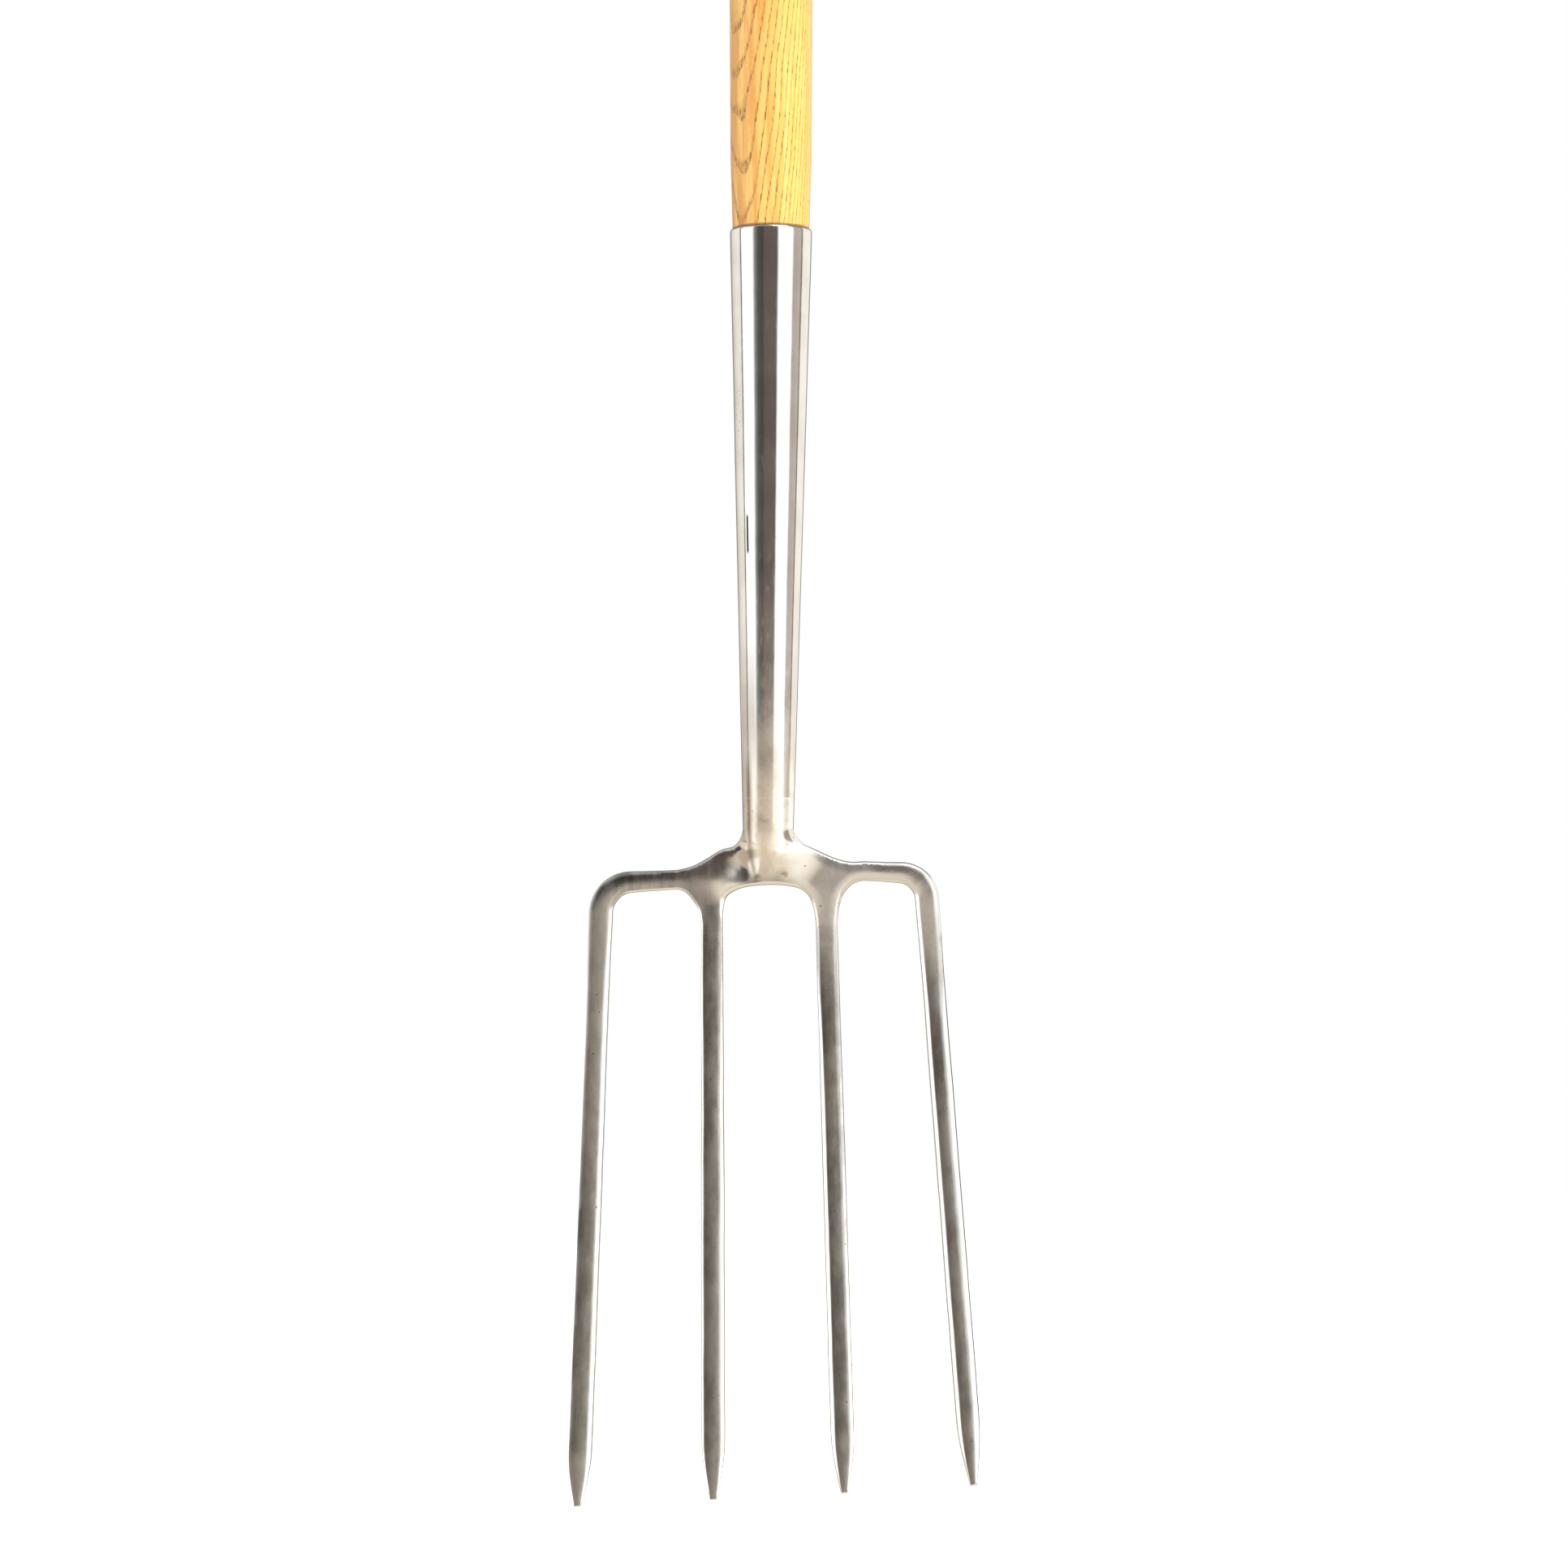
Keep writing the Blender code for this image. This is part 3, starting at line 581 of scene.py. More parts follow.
def rounded(profile, radii, count):
    """A profile with its inner corners rounded; radii holds one radius for each corner, 0 for a sharp one."""
    made = [profile[0]]
    for i, radius in enumerate(radii, 1):
        if radius:
            made += corner_arc(profile[i - 1], profile[i], profile[i + 1], radius, count)
        else:
            made.append(profile[i])
    return made + [profile[-1]]


def evaluated_mesh(obj):
    return bpy.data.meshes.new_from_object(obj.evaluated_get(bpy.context.evaluated_depsgraph_get()))


def unit_circle(steps):
    angles = [2 * math.pi * k / steps for k in range(steps)]
    return [(math.cos(t), math.sin(t)) for t in angles]


def ring_faces(rings, steps, loop):
    """Quads between rings of vertices, and from the last ring to the first when it is a loop."""
    faces = []
    for i in range(rings if loop else rings - 1):
        low, high = i * steps, (i + 1) % rings * steps
        faces += [(low + k, low + (k + 1) % steps, high + (k + 1) % steps, high + k) for k in range(steps)]
    return faces


def turned(name, profile, steps, axis, centre, loop=False):
    """A piece turned from (radius, distance along) points about an X or Y axis. A loop is a bored piece."""
    vertices = []
    for radius, along in profile:
        for across, up in unit_circle(steps):
            u, v = radius * across, radius * up
            place = (along, u, v) if axis == "X" else (u, along, v)
            vertices.append(Vector(centre) + Vector(place))
    obj = new_piece(name, vertices, ring_faces(len(profile), steps, loop))
    weld(obj)
    obj.data.set_sharp_from_angle(angle=math.radians(40))
    return obj


def socket_ring(z, inset, waves):
    """One ring of the socket's wall, inset from its outside."""
    centre = tube_axis_x(z)
    radius = tube_radius(z) - inset
    points = np.array(unit_circle(SOCKET_STEPS))
    around = [(a * radius, b * radius, z) for a, b in points]
    wave = noise_at(around, 0.024, 4) * 0.00005 + noise_at(around, 0.060, 6) * 0.00008
    radii = radius + wave * waves
    return np.column_stack([centre + points[:, 0] * radii, points[:, 1] * radii, np.full(SOCKET_STEPS, z)])


def build_socket():
    """The tapered socket with a rolled rim, as a closed wall."""
    rim_start = TUBE_RIM - RIM_HEIGHT
    calm = (JOIN_Z + 0.002, JOIN_Z + 0.014)
    rows = [(z, 0.0, smoothstep(*calm, z)) for z in np.linspace(JOIN_Z, rim_start, 150)]
    for i in range(1, 9):
        angle = math.pi / 2 * i / 8
        rows.append((rim_start + RIM_HEIGHT * math.sin(angle), RIM_INSET * (1 - math.cos(angle)), 1.0))
    rows.append((TUBE_RIM, SOCKET_WALL, 1.0))
    rows += [(z, SOCKET_WALL, 0.0) for z in np.linspace(TUBE_RIM - 0.004, JOIN_Z, 30)]
    vertices = np.vstack([socket_ring(*row) for row in rows])
    obj = new_piece("socket_tube", vertices, ring_faces(len(rows), SOCKET_STEPS, True))
    obj.data.set_sharp_from_angle(angle=math.radians(50))
    return obj


# ---- the ash handle

def grain_along(obj, places):
    """Stores where each vertex was in the straight wood, for the wood's material."""
    made = obj.data.attributes.new("grain", "FLOAT_VECTOR", "POINT")
    made.data.foreach_set("vector", np.asarray(places, np.float32).ravel())


def build_handle():
    """The ash shaft and its split yoke, softened from the CAD node. The grain follows the bent arms."""
    work = new_object("ash_work", bpy.data.objects["ash_shaft"].data.copy())
    remesh = work.modifiers.new("remesh", "REMESH")
    remesh.mode = "VOXEL"
    remesh.voxel_size = WOOD_VOXEL
    soften = work.modifiers.new("soften", "SMOOTH")
    soften.factor = 0.5
    soften.iterations = 14
    mesh = evaluated_mesh(work)
    bpy.data.objects.remove(work)
    obj = new_object("ash_handle", mesh)
    mesh.materials.clear()
    mesh.shade_smooth()
    places = np.empty(len(mesh.vertices) * 3, np.float32)
    mesh.vertices.foreach_get("co", places)
    places = places.reshape(-1, 3).astype(float)
    away = np.hypot(places[:, 0], places[:, 1])
    wanted = np.interp(places[:, 2], *zip(*SHAFT_ROUND))
    on_outside = (away > 0.7 * wanted) * (places[:, 2] > SHAFT_END)
    share = (1 - smoothstep(*THROAT, places[:, 2])) * on_outside
    scale = 1 + (wanted / np.maximum(away, 1e-6) - 1) * share
    places[:, :2] *= scale[:, None]
    mesh.vertices.foreach_set("co", places.astype(np.float32).ravel())
    mesh.update()
    x, y, z = places.T
    bent = smoothstep(0, 1, (z - ARM_BEND_Z) / ARM_BEND_LENGTH)
    straightened = x - np.tanh(x / 0.004) * (ARM_PATH_HIGH_X - ARM_PATH_LOW_X) * bent
    grain_along(obj, np.column_stack([straightened, y, z]))
    return obj


def build_grip():
    """The turned crossbar of the grip, with its grain along X."""
    half, rounding = GRIP_HALF, GRIP_ROUNDING
    outer = [(GRIP_END_RADIUS + GRIP_SWELL * math.cos(x / half * math.pi / 2), x)
             for x in np.linspace(half, -half, 25)]
    end_radius = outer[0][0] - rounding
    edge = [(end_radius + rounding * math.sin(a), half - rounding * (1 - math.cos(a)))
            for a in np.linspace(0.3, 1.57, 5)]
    other = [(radius, -along) for radius, along in reversed(edge)]
    middle = [p for p in outer[1:-1] if abs(p[1]) < half - 0.0018]
    bore = [(GRIP_BORE, -half), (GRIP_BORE, half)]
    profile = [(end_radius, half), *edge, *middle, *other, (end_radius, -half), *bore]
    obj = turned("ash_grip", profile, 96, "X", (0, 0, GRIP_Z), loop=True)
    grain_along(obj, [(v.co.z - GRIP_Z + 0.020, v.co.y + 0.010, v.co.x + 0.30) for v in obj.data.vertices])
    return obj


# ---- rods, washers and screws

def domed(radius, height, base, hammered=0.0):
    """Profile points of a round head on a flat seat, from its crown to its edge."""
    made = []
    for i in range(9):
        angle = math.pi / 2 * i / 8
        rise = math.cos(angle) ** 0.8 - hammered * (i == 0)
        made.append((radius * math.sin(angle), base + height * rise))
    return made


def build_rod(name, radius, seat, head_radius, head_height, z):
    """A rod along X with a hammered, dented head at each end."""
    right = domed(head_radius, head_height, seat, 0.04)
    left = [(r, -along) for r, along in reversed(right)]
    obj = turned(name, right + [(radius, seat), (radius, -seat)] + left, 48, "X", (0, 0, z))
    places = np.array([v.co for v in obj.data.vertices])
    dents = noise_at(places, 0.0021, 3) * 0.00012 * (np.abs(places[:, 0]) > seat + 0.0006)
    for vertex, dent in zip(obj.data.vertices, dents):
        vertex.co.x -= math.copysign(max(0.0, dent), vertex.co.x)
    return obj


def build_washer(name, bore, radius, thickness, inner_x, z, side):
    """A washer with rounded outer edges, from its inner face out to one side."""
    edge = thickness * 0.3
    profile = [(bore, thickness), (radius, thickness), (radius, 0), (bore, 0), (bore, thickness / 2)]
    profile = [(bore, thickness / 2), *rounded(profile, (edge, edge, 0), 4)]
    profile = [(r, side * (inner_x + along)) for r, along in profile]
    return turned(name, profile, 64, "X", (0, 0, z), loop=True)


def build_screw(place, height):
    """A slotted round-head screw behind the socket."""
    base = float(tube_radius(height + SCREW_HEAD_RADIUS)) + 0.0003
    point = base - SCREW_LENGTH
    profile = domed(SCREW_HEAD_RADIUS, SCREW_HEAD_HEIGHT, base)
    profile += [(SCREW_RADIUS, base), (SCREW_RADIUS, point + SCREW_POINT), (0, point)]
    obj = turned(f"screw_{place}", profile, 64, "Y", (0, 0, height))
    form = bmesh.new()
    bmesh.ops.create_cube(form, size=1)
    for vertex in form.verts:
        x, y, z = vertex.co
        y = y * 2 * SLOT_DEPTH + base + SCREW_HEAD_HEIGHT
        vertex.co = (x * 3 * SCREW_HEAD_RADIUS, y, z * SLOT_WIDTH + height)
    mesh = bpy.data.meshes.new("slot")
    form.to_mesh(mesh)
    form.free()
    cutter = new_object("slot", mesh)
    cut = obj.modifiers.new("cut", "BOOLEAN")
    cut.operation = "DIFFERENCE"
    cut.solver = "EXACT"
    cut.object = cutter
    baked = evaluated_mesh(obj)
    obj.modifiers.clear()
    obj.data = baked
    bpy.data.objects.remove(cutter)
    obj.data.shade_smooth()
    obj.data.set_sharp_from_angle(angle=math.radians(35))
    return obj


# ---- nodes

class Nodes:
    """Adds shader nodes to a tree by short calls."""

    def __init__(self, tree):
        self.tree = tree

    def add(self, kind):
        return self.tree.nodes.new("ShaderNode" + kind)

    def put(self, socket, value):
        if isinstance(value, bpy.types.NodeSocket):
            self.tree.links.new(value, socket)
        else:
            socket.default_value = value

    def fill(self, inputs, **values):
        for name, value in values.items():
            self.put(inputs[name.replace("_", " ").title()], value)

    def math(self, operation, *values):
        node = self.add("Math")
        node.operation = operation
        for socket, value in zip(node.inputs, values):
            self.put(socket, value)
        return node.outputs[0]

    def times(self, a, b):
        return self.math("MULTIPLY", a, b)

    def plus(self, a, b):
        return self.math("ADD", a, b)

    def minus(self, a, b):
        return self.math("SUBTRACT", a, b)

    def turn(self, x, y):
        """Angle round the Z axis in radians: 0 in front, at -Y, and positive to the right."""
        return self.math("ARCTAN2", x, self.times(y, -1.0))

    def split(self, vector):
        node = self.add("SeparateXYZ")
        self.put(node.inputs[0], vector)
        return node.outputs

    def span(self, value, low, high, to_low=0.0, to_high=1.0):
        """A smooth change from one number to another while value goes from low to high."""
        node = self.add("MapRange")
        node.interpolation_type = "SMOOTHSTEP"
        for socket, number in zip(node.inputs[:5], (value, low, high, to_low, to_high)):
            self.put(socket, number)
        return node.outputs[0]

    def between(self, value, low, high, soft):
        """1 where value is between low and high, with soft edges."""
        rise = self.span(value, low - soft, low + soft)
        return self.times(rise, self.span(value, high - soft, high + soft, 1.0, 0.0))

    def mix(self, share, a, b):
        """The colour a, turned into b by a share from 0 to 1."""
        node = self.add("Mix")
        node.data_type = "RGBA"
        for socket, value in zip((node.inputs[0], node.inputs[6], node.inputs[7]), (share, a, b)):
            self.put(socket, (*value, 1) if isinstance(value, tuple) else value)
        return node.outputs[2]


class Shader(Nodes):
    """A material's nodes. Lengths are in millimetres."""

    def __init__(self, name, attribute=None):
        self.material = bpy.data.materials.new(name)
        self.material.use_nodes = True
        super().__init__(self.material.node_tree)
        self.surface = self.tree.nodes["Principled BSDF"]
        place = self.attribute(attribute, "Vector") if attribute else self.add("TexCoord").outputs["Object"]
        self.place = self.vector("SCALE", place, scale=1 / MM)
        self.x, self.y, self.z = self.split(self.place)

    def attribute(self, name, output="Fac"):
        node = self.add("Attribute")
        node.attribute_name = name
        return node.outputs[output]

    def vector(self, operation, a, b=(0, 0, 0), scale=1.0):
        node = self.add("VectorMath")
        node.operation = operation
        for socket, value in zip((node.inputs[0], node.inputs[1], node.inputs[3]), (a, b, scale)):
            self.put(socket, value)
        return node.outputs[1 if operation == "LENGTH" else 0]

    def stretched(self, x, y, z):
        """The place, with lengths divided by the given sizes in millimetres."""
        return self.vector("MULTIPLY", self.place, (1 / x, 1 / y, 1 / z))

    def noise(self, where, size=1.0, detail=2.0, roughness=0.5):
        node = self.add("TexNoise")
        self.fill(node.inputs, vector=where, scale=1 / size, detail=detail, roughness=roughness)
        return node.outputs[0]

    def spots(self, where, size):
        """Distance to the nearest of scattered points, in units of their spacing."""
        node = self.add("TexVoronoi")
        self.fill(node.inputs, vector=where, scale=1 / size)
        return node.outputs["Distance"]

    def bump(self, height, distance_mm, strength=1.0, normal=None):
        node = self.add("Bump")
        self.fill(node.inputs, height=height, distance=distance_mm * MM, strength=strength)
        if normal:
            self.fill(node.inputs, normal=normal)
        return node.outputs[0]

    def from_front(self, x, z):
        """Distance from the line that goes from front to back through a place."""
        away = self.vector("SUBTRACT", self.place, (x, 0, z))
        return self.vector("LENGTH", self.vector("MULTIPLY", away, (1, 0, 1)))

    def set(self, **values):
        self.fill(self.surface.inputs, **values)


# ---- materials

# The crosshead's uneven face, and painted highlights where its steel shows lighter, in mm
HAMMERED = ((-9.5, 302.0, 9.0, -1.0), (-28.0, 292.0, 13.0, 0.9))  # x, z, reach and rise
PAINTED_HIGHLIGHTS = (  # x, z, radius where it starts to fade, radius where it ends, strength and colour
    (-24.0, 298.0, 8.0, 20.0, 0.6, (0.66, 0.61, 0.56)),
    (-20.5, 288.0, 3.0, 10.0, 0.85, (0.88, 0.85, 0.80)),
    (12.5, 300.5, 3.0, 9.0, 0.85, (0.99, 0.98, 0.96)),
)
# Dark colour for the dirt in the pits, also used for the painted shade along the socket's rim.
DIRT_AND_SHADE = (0.10, 0.08, 0.07)


def satin_neck(s):
    """Colour and roughness of the warm, duller steel between the crosshead and the polished socket, with
    painted reflections: dark bands down its sides.
    """
    clouds = s.noise(s.stretched(7, 9, 12), 1, 3, 0.6)
    colour = s.mix(s.span(clouds, 0.36, 0.64), (0.78, 0.72, 0.64), (0.95, 0.90, 0.82))
    angle = s.turn(s.minus(s.x, NECK_X / MM), s.y)
    # Painted reflections: darker bands at set angles down the neck's left front, as if it reflected dark flags.
    colour = s.mix(s.times(s.between(angle, -1.55, -0.60, 0.14), 0.75), colour, (0.40, 0.33, 0.27))
    colour = s.mix(s.times(s.between(angle, -0.96, -0.74, 0.09), 0.8), colour, (0.20, 0.15, 0.11))
    # Painted reflection: a darker band down the neck's right side, stronger higher up.
    right_painted_band = s.times(s.between(angle, 0.66, 0.92, 0.14), s.span(s.z, 301.0, 311.0, 0.0, 0.85))
    colour = s.mix(right_painted_band, colour, (0.42, 0.35, 0.29))
    return colour, s.span(clouds, 0.3, 0.7, 0.12, 0.18)


def neck_share(s):
    """How much the neck's satin steel covers the head: all above the shoulders, and less down the tongue."""
    left_edge = s.plus(s.x, s.times(s.span(s.z, 294.0, 302.0), 7.0))
    sides = s.times(s.span(left_edge, -12.0, -8.0), s.span(s.x, 14.0, 30.0, 1.0, 0.0))
    return s.math("MAXIMUM", s.times(s.span(s.z, 284.0, 300.0), sides), s.span(s.z, 308.0, 314.0))


def hammered_shape(s):
    """How far the crosshead's uneven face stands out, in millimetres."""
    shape = 0.0
    for x, z, reach, rise in HAMMERED:
        shape = s.plus(shape, s.span(s.from_front(x, z), 0.0, reach, rise, 0.0))
    return shape


def forged_steel():
    """Satin forged stainless: cloudy grinding, scratches along the bars, dark pits, smoother bevels with
    painted highlights and shade, and painted light and shade across the faces.
    """
    s = Shader("forged_steel_worn")
    clouds = s.noise(s.stretched(15, 15, 30), 1, 2, 0.5)
    fine_clouds = s.noise(s.stretched(3.5, 5, 10), 1, 3, 0.6)
    both = s.plus(s.times(clouds, 0.55), s.times(fine_clouds, 0.45))
    # Painted shade across each bar: its left side darker and its right side lighter, as if lit from the right.
    across = s.span(s.attribute("across"), -4.0, 4.5)
    dark = s.mix(across, (0.145, 0.14, 0.135), (0.33, 0.325, 0.315))
    light = s.mix(across, (0.26, 0.255, 0.25), (0.56, 0.555, 0.545))
    colour = s.mix(s.span(both, 0.36, 0.64), dark, light)
    scratches = s.noise(s.stretched(0.35, 0.35, 26), 1, 2, 0.6)
    colour = s.mix(s.span(scratches, 0.56, 0.72, 0.0, 0.30), colour, (0.28, 0.26, 0.24))
    satin, satin_rough = satin_neck(s)
    neck = neck_share(s)
    colour = s.mix(neck, colour, satin)
    # Painted highlight: the head's right side, and the outer left bar's left side, turned pale as if lit.
    painted_sheen_right = s.times(s.span(s.x, 2.0, 14.0), s.span(s.z, 232.0, 286.0))
    painted_sheen_left = s.times(s.span(s.x, -66.0, -80.0), s.span(s.z, 90.0, 270.0, 0.1, 0.42))
    painted_sheen = s.math("MAXIMUM", painted_sheen_right, painted_sheen_left)
    colour = s.mix(s.times(painted_sheen, 0.85), colour, (0.90, 0.885, 0.86))
    pit_stains = tuple((x / MM, z / MM, 0.6, 2.4, 0.6, (0.30, 0.23, 0.17)) for x, z in TONGUE_PITS)
    # Painted highlights, then the real stains round the tongue's pits.
    for x, z, full, end, share, tint in PAINTED_HIGHLIGHTS + pit_stains:
        colour = s.mix(s.span(s.from_front(x, z), full, end, share, 0.0), colour, tint)
    bevel = s.attribute("bevel")
    below_neck = s.span(s.z, 302.0, 310.0, 1.0, 0.0)
    # Painted highlight and shade on the bevels: white up to the arches, dark above them. The same mask makes
    # the bevels smoother, as real wear.
    edge_wear_and_glint = s.times(s.span(bevel, 0.05, 0.35), below_neck)
    painted_bevel_glint_and_shade = s.mix(s.span(s.z, 290.5, 294.0), (0.98, 0.97, 0.95), (0.26, 0.24, 0.22))
    colour = s.mix(s.times(edge_wear_and_glint, 0.9), colour, painted_bevel_glint_and_shade)
    # Painted shade: a dark line where each bevel meets the face.
    painted_crease_shade = s.times(s.span(bevel, 0.70, 0.86), s.span(bevel, 0.96, 1.0, 1.0, 0.35))
    painted_crease_shade = s.times(painted_crease_shade, below_neck)
    colour = s.mix(s.times(painted_crease_shade, 0.9), colour, (0.10, 0.085, 0.07))
    pits = s.span(s.spots(s.place, 6.5), 0.05, 0.10, 1.0, 0.0)
    pitted = s.times(pits, s.span(s.noise(s.place, 14, 1), 0.50, 0.60))
    colour = s.mix(s.times(pitted, 0.7), colour, DIRT_AND_SHADE)
    rough = s.plus(s.span(clouds, 0.3, 0.7, 0.21, 0.30), s.times(s.minus(fine_clouds, 0.5), 0.15))
    rough = s.minus(rough, s.times(edge_wear_and_glint, 0.10))
    rough = s.plus(rough, s.times(neck, s.minus(satin_rough, rough)))
    relief = s.bump(hammered_shape(s), 1.0)
    relief = s.bump(scratches, 0.010, 0.6, relief)
    relief = s.bump(s.noise(s.place, 3.2, 2), 0.030, 0.5, relief)
    relief = s.bump(s.times(pitted, -1.0), 0.12, 0.8, relief)
    s.set(base_color=colour, roughness=rough, metallic=1.0, normal=relief)
    return s.material


def polished_steel():
    """The socket: satin and warm by the crosshead, mirror-polished above, with a few marks of use, a painted
    dark reflection band on its left front and painted shade along the rim.
    """
    s = Shader("polished_steel_socket")
    low = s.span(s.z, 332.0, 370.0, 1.0, 0.0)
    clouds = s.noise(s.place, 26, 3, 0.55)
    colour = s.mix(s.span(clouds, 0.35, 0.65), (0.80, 0.775, 0.745), (0.90, 0.885, 0.86))
    satin, satin_rough = satin_neck(s)
    colour = s.mix(low, colour, satin)
    flecks = s.span(s.spots(s.stretched(0.8, 0.8, 1.6), 4.5), 0.03, 0.08, 1.0, 0.0)
    flecked = s.times(flecks, s.span(s.noise(s.place, 18, 1), 0.52, 0.62))
    colour = s.mix(s.times(flecked, 0.6), colour, (0.30, 0.22, 0.14))
    angle = s.turn(s.x, s.y)
    # A short slit mark on the left front: painted shade inside it and a bump, not cut.
    slit = s.times(s.between(angle, -0.780, -0.720, 0.010), s.between(s.z, 444.0, 461.5, 1.2))
    colour = s.mix(slit, colour, (0.05, 0.03, 0.02))
    worn = s.times(s.between(angle, -1.30, -0.98, 0.05), s.between(s.z, 498.0, 524.0, 5.0))
    specks = s.span(s.noise(s.stretched(0.6, 0.6, 1.1), 1, 2), 0.60, 0.66)
    colour = s.mix(s.times(specks, s.times(worn, 0.75)), colour, (0.22, 0.16, 0.10))
    # Painted reflection: a darker band down the socket's left front, fading out upwards, above the satin part.
    painted_dark_band = s.times(s.between(angle, -1.25, -0.55, 0.10), s.span(s.z, 345.0, 430.0, 0.7, 0.0))
    colour = s.mix(s.times(painted_dark_band, s.minus(1.0, low)), colour, (0.38, 0.31, 0.25))
    # Painted shade: the top of the socket darkened along the rim, where the wood goes in.
    painted_rim_shade = s.span(s.z, 594.9, 595.7)
    colour = s.mix(s.times(painted_rim_shade, 0.85), colour, DIRT_AND_SHADE)
    scuffs = s.noise(s.stretched(1.1, 1.1, 6.0), 1, 3, 0.6)
    rough = s.plus(s.span(clouds, 0.3, 0.7, 0.075, 0.115), s.span(scuffs, 0.5, 0.75, 0.0, 0.06))
    rough = s.plus(rough, s.times(low, s.minus(satin_rough, rough)))
    rough = s.plus(rough, s.times(slit, 0.4))
    relief = s.bump(s.noise(s.place, 1.2, 3, 0.6), 0.004, 0.5)
    relief = s.bump(s.noise(s.stretched(3, 3, 7), 1, 2), 0.012, 0.5, relief)
    relief = s.bump(slit, 0.10, 1.0, relief)
    s.set(base_color=colour, roughness=rough, metallic=1.0, normal=relief)
    return s.material


def ash_wood():
    """Lacquered ash: open-pored rings round an axis behind the shaft, fine fibres, browner heartwood."""
    s = Shader("ash_wood_lacquered", "grain")
    warp = s.times(s.minus(s.noise(s.stretched(22, 22, 90), 1, 2), 0.5), 5.0)
    from_pith = s.vector("MULTIPLY", s.vector("SUBTRACT", s.place, (56.0, 42.0, 0.0)), (1, 1, 0))
    radius = s.vector("LENGTH", from_pith)
    rings = s.plus(s.plus(radius, warp), s.times(s.z, 0.084))
    in_ring = s.math("FRACT", s.math("DIVIDE", rings, 2.2))
    early = s.times(s.span(in_ring, 0.0, 0.05), s.span(in_ring, 0.14, 0.34, 1.0, 0.0))
    fibre = s.noise(s.stretched(0.30, 0.30, 9.0), 1, 3, 0.6)
    broad = s.noise(s.stretched(4.0, 4.0, 70.0), 1, 2, 0.5)
    pores = s.span(s.noise(s.stretched(0.50, 0.50, 3.0), 1, 1, 0.5), 0.52, 0.60)
    heart = s.span(s.plus(radius, s.times(warp, 1.5)), 77.0, 86.0)
    colour = s.mix(heart, (0.82, 0.49, 0.090), (0.68, 0.32, 0.070))
    colour = s.mix(s.span(broad, 0.36, 0.64, 0.0, 0.6), colour, (0.95, 0.66, 0.21))
    colour = s.mix(s.times(early, 0.70), colour, (0.52, 0.26, 0.055))
    colour = s.mix(s.span(fibre, 0.50, 0.72, 0.0, 0.40), colour, (0.55, 0.30, 0.085))
    dark = s.times(pores, s.plus(s.times(early, 0.95), 0.12))
    colour = s.mix(dark, colour, (0.27, 0.12, 0.032))
    # Painted shadow: a dark band round the wood just above the socket's rim.
    painted_rim_shadow = s.times(s.span(s.z, 594.0, 595.0), s.span(s.z, 596.4, 597.4, 0.8, 0.0))
    colour = s.mix(painted_rim_shadow, colour, (0.16, 0.08, 0.03))
    relief = s.bump(dark, 0.06, 0.5)
    relief = s.bump(fibre, 0.02, 0.3, relief)
    relief = s.bump(s.noise(s.place, 12, 1), 0.10, 0.3, relief)
    rough = s.span(fibre, 0.3, 0.7, 0.34, 0.48)
    s.set(base_color=colour, roughness=rough, normal=relief, coat_weight=0.2, coat_roughness=0.2)
    return s.material


def fastener_steel():
    """Plain bright steel, turned and lightly rubbed."""
    s = Shader("fastener_steel_bright")
    clouds = s.noise(s.place, 3.0, 3, 0.6)
    turning = s.noise(s.stretched(0.15, 0.9, 0.9), 1, 2, 0.6)
    colour = s.mix(s.span(clouds, 0.35, 0.65), (0.50, 0.50, 0.49), (0.72, 0.71, 0.69))
    rough = s.span(clouds, 0.3, 0.7, 0.22, 0.36)
    s.set(base_color=colour, roughness=rough, metallic=1.0, normal=s.bump(turning, 0.008, 0.5))
    return s.material


# ---- the studio

WHITE = (1.0, 1.0, 1.0)
SOFT_BOX = (1.28, 1.28, 1.28)
WARM_BOX = (1.04, 1.0, 0.92)
DARK_FLAG = (0.12, 0.12, 0.12)
RIGHT_FLAG = (0.15, 0.14, 0.13)
BEHIND = (0.32, 0.32, 0.32)
BEHIND_BELOW = (0.40, 0.39, 0.37)
GLARE = (1.70, 1.66, 1.58)
FLOOR_GLOW = (0.84, 0.75, 0.62)
# What the steel reflects: azimuth in degrees, 0 in front of the fork and positive to the right, and colour
ROUND_THE_STUDIO = (
    (-180, BEHIND), (-152, BEHIND), (-146, (0.75, 0.68, 0.58)), (-118, (0.95, 0.92, 0.85)),
    (-99, (0.95, 0.93, 0.85)), (-97, DARK_FLAG), (-94, DARK_FLAG), (-92, SOFT_BOX), (-54, SOFT_BOX),
    (-48, (0.30, 0.29, 0.29)), (-38, (0.10, 0.098, 0.095)), (-24, (0.065, 0.066, 0.062)),
    (-17, (0.14, 0.11, 0.10)), (14, (0.15, 0.12, 0.11)), (18, (0.10, 0.095, 0.09)), (23, SOFT_BOX),
    (65, SOFT_BOX), (68, (0.50, 0.45, 0.41)), (96, (0.58, 0.51, 0.46)), (98, RIGHT_FLAG), (101, RIGHT_FLAG),
    (104, WARM_BOX), (150, WARM_BOX), (156, BEHIND), (180, BEHIND),
)
BELOW_THE_STUDIO = (  # the same, a few degrees and more below the horizon
    (-180, BEHIND_BELOW), (-156, BEHIND_BELOW), (-150, GLARE), (-68, GLARE), (-58, (0.88, 0.79, 0.69)),
    (-36, (0.88, 0.78, 0.68)), (-19, (0.86, 0.75, 0.63)), (0, (0.90, 0.81, 0.68)), (16, (1.02, 0.94, 0.81)),
    (32, (1.15, 1.08, 0.96)), (52, GLARE), (150, GLARE), (158, BEHIND_BELOW), (180, BEHIND_BELOW),
)


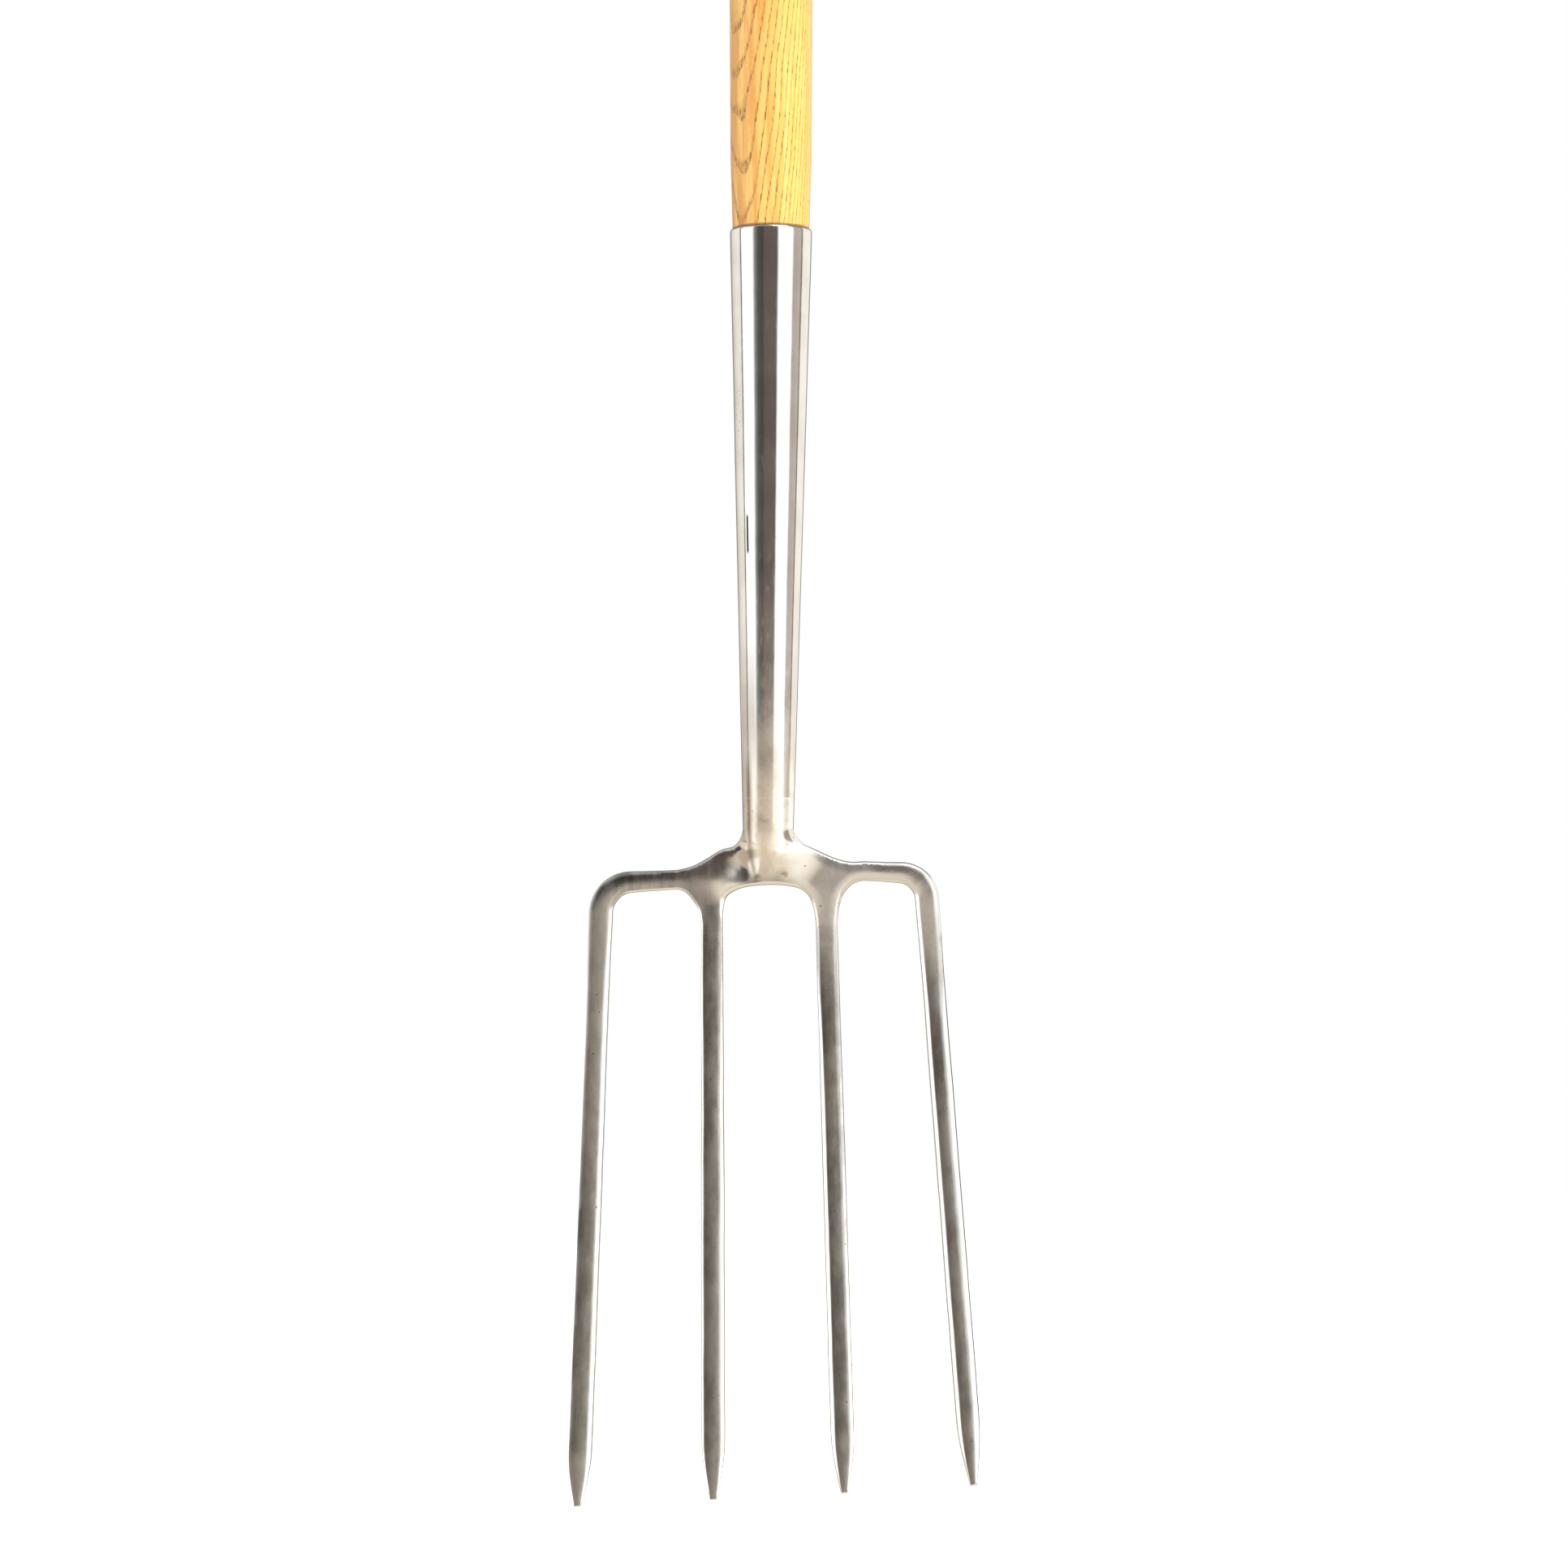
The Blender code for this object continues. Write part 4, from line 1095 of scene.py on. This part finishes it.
def studio_world():
    """White to the camera. Reflections see soft boxes and dark flags round the fork."""
    world = bpy.data.worlds.new("studio")
    bpy.context.scene.world = world
    world.use_nodes = True
    w = Nodes(world.node_tree)

    def ramp(value, stops):
        node = w.add("ValToRGB")
        band = node.color_ramp
        while len(band.elements) > 1:
            band.elements.remove(band.elements[0])
        for i, (azimuth, colour) in enumerate(stops):
            place = (azimuth + 180) / 360
            element = band.elements[0] if i == 0 else band.elements.new(place)
            element.position = place
            element.color = (*colour, 1)
        w.put(node.inputs[0], value)
        return node.outputs[0]

    x, y, z = w.split(w.add("TexCoord").outputs["Generated"])
    share = w.plus(w.math("DIVIDE", w.turn(x, y), 2 * math.pi), 0.5)
    elevation = w.times(w.math("ARCSINE", z), 180 / math.pi)
    level, below = ramp(share, ROUND_THE_STUDIO), ramp(share, BELOW_THE_STUDIO)
    around = w.mix(w.span(elevation, -2.9, -1.9), below, level)
    around = w.mix(w.span(elevation, -15.0, -27.0), around, FLOOR_GLOW)
    around = w.mix(w.span(elevation, 25.0, 45.0), around, WHITE)
    seen = w.mix(w.add("LightPath").outputs["Is Camera Ray"], around, WHITE)
    w.put(w.tree.nodes["Background"].inputs["Color"], seen)


def area_light(name, place, power, reflected):
    """A square light that is aimed at the middle of the fork."""
    light = bpy.data.lights.new(name, "AREA")
    light.size = 1.5
    light.energy = power
    obj = new_object(name, light)
    obj.location = place
    obj.rotation_euler = (Vector((0, 0, 0.5)) - obj.location).to_track_quat("-Z", "Y").to_euler()
    obj.visible_glossy = reflected
    obj.visible_camera = False


def floor_white():
    """Pale and faintly speckled, lit from within, fading out to the sides."""
    s = Shader("floor_white")
    away = s.vector("LENGTH", s.vector("MULTIPLY", s.place, (1, 1, 0)))
    speckle = s.span(s.noise(s.place, 40, 2), 0.3, 0.7, 0.86, 0.90)
    s.set(base_color=s.mix(speckle, (0.0, 0.0, 0.0), WHITE), roughness=0.8,
          alpha=s.span(away, 450.0, 1500.0, 1.0, 0.0), emission_color=(1, 1, 1, 1), emission_strength=0.45)
    return s.material


def build_floor():
    """A disc just under the tips."""
    rings, steps, full_radius = 24, 96, 1.6
    low = CAD_BOX[0].z - 0.0008
    vertices = [(0, 0, low)]
    for i in range(1, rings + 1):
        radius = full_radius * i / rings
        vertices += [(radius * across, radius * along, low) for across, along in unit_circle(steps)]
    faces = [(0, 1 + k, 1 + (k + 1) % steps) for k in range(steps)]
    for inner in range(1, 1 + (rings - 1) * steps, steps):
        outer = inner + steps
        for k in range(steps):
            n = (k + 1) % steps
            faces.append((inner + k, outer + k, outer + n, inner + n))
    obj = new_piece("floor", vertices, faces)
    obj.data.materials.append(floor_white())
    obj.visible_glossy = False
    return obj


def build_camera():
    """A long lens, level with the middle of the photo."""
    camera = bpy.data.cameras.new("camera")
    camera.sensor_width = 36
    camera.lens = 79.732919
    obj = new_object("camera", camera)
    obj.location = (0.0061, -1.63, 0.3363)
    obj.rotation_euler = (math.pi / 2, 0, 0)
    bpy.context.scene.camera = obj


# ---- putting it together

def finish_piece(obj, slot, material, *nodes):
    obj.data.materials.clear()
    obj.data.materials.append(material)
    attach(obj, "root")
    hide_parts(*nodes)


build_camera()
bpy.context.scene.view_settings.view_transform = "Standard"
studio_world()
area_light("key", (0.6, -1.0, 2.2), 18, True)
area_light("fill", (0.9, -2.0, 1.0), 27, False)
build_floor()

finish_piece(build_head(), "forged_steel", forged_steel(), "outer_tine_left", "inner_tine_left",
             "inner_tine_right", "outer_tine_right", "crosshead")
finish_piece(build_socket(), "polished_steel", polished_steel(), "socket")
wood = ash_wood()
finish_piece(build_handle(), "ash_wood", wood, "ash_shaft")
finish_piece(build_grip(), "ash_wood", wood, "grip_bar")
steel = fastener_steel()
for name, (node, sizes) in RODS.items():
    finish_piece(build_rod(name, **sizes), "fastener_steel", steel, node)
for side, word in ((-1, "left"), (1, "right")):
    for place, sizes in WASHERS.items():
        ring = build_washer(f"washer_{place}_{word}", **sizes, side=side)
        finish_piece(ring, "fastener_steel", steel, f"{place}_washer_{word}")
for place, height in SCREW_HEIGHTS.items():
    finish_piece(build_screw(place, height), "fastener_steel", steel, f"socket_screw_{place}")
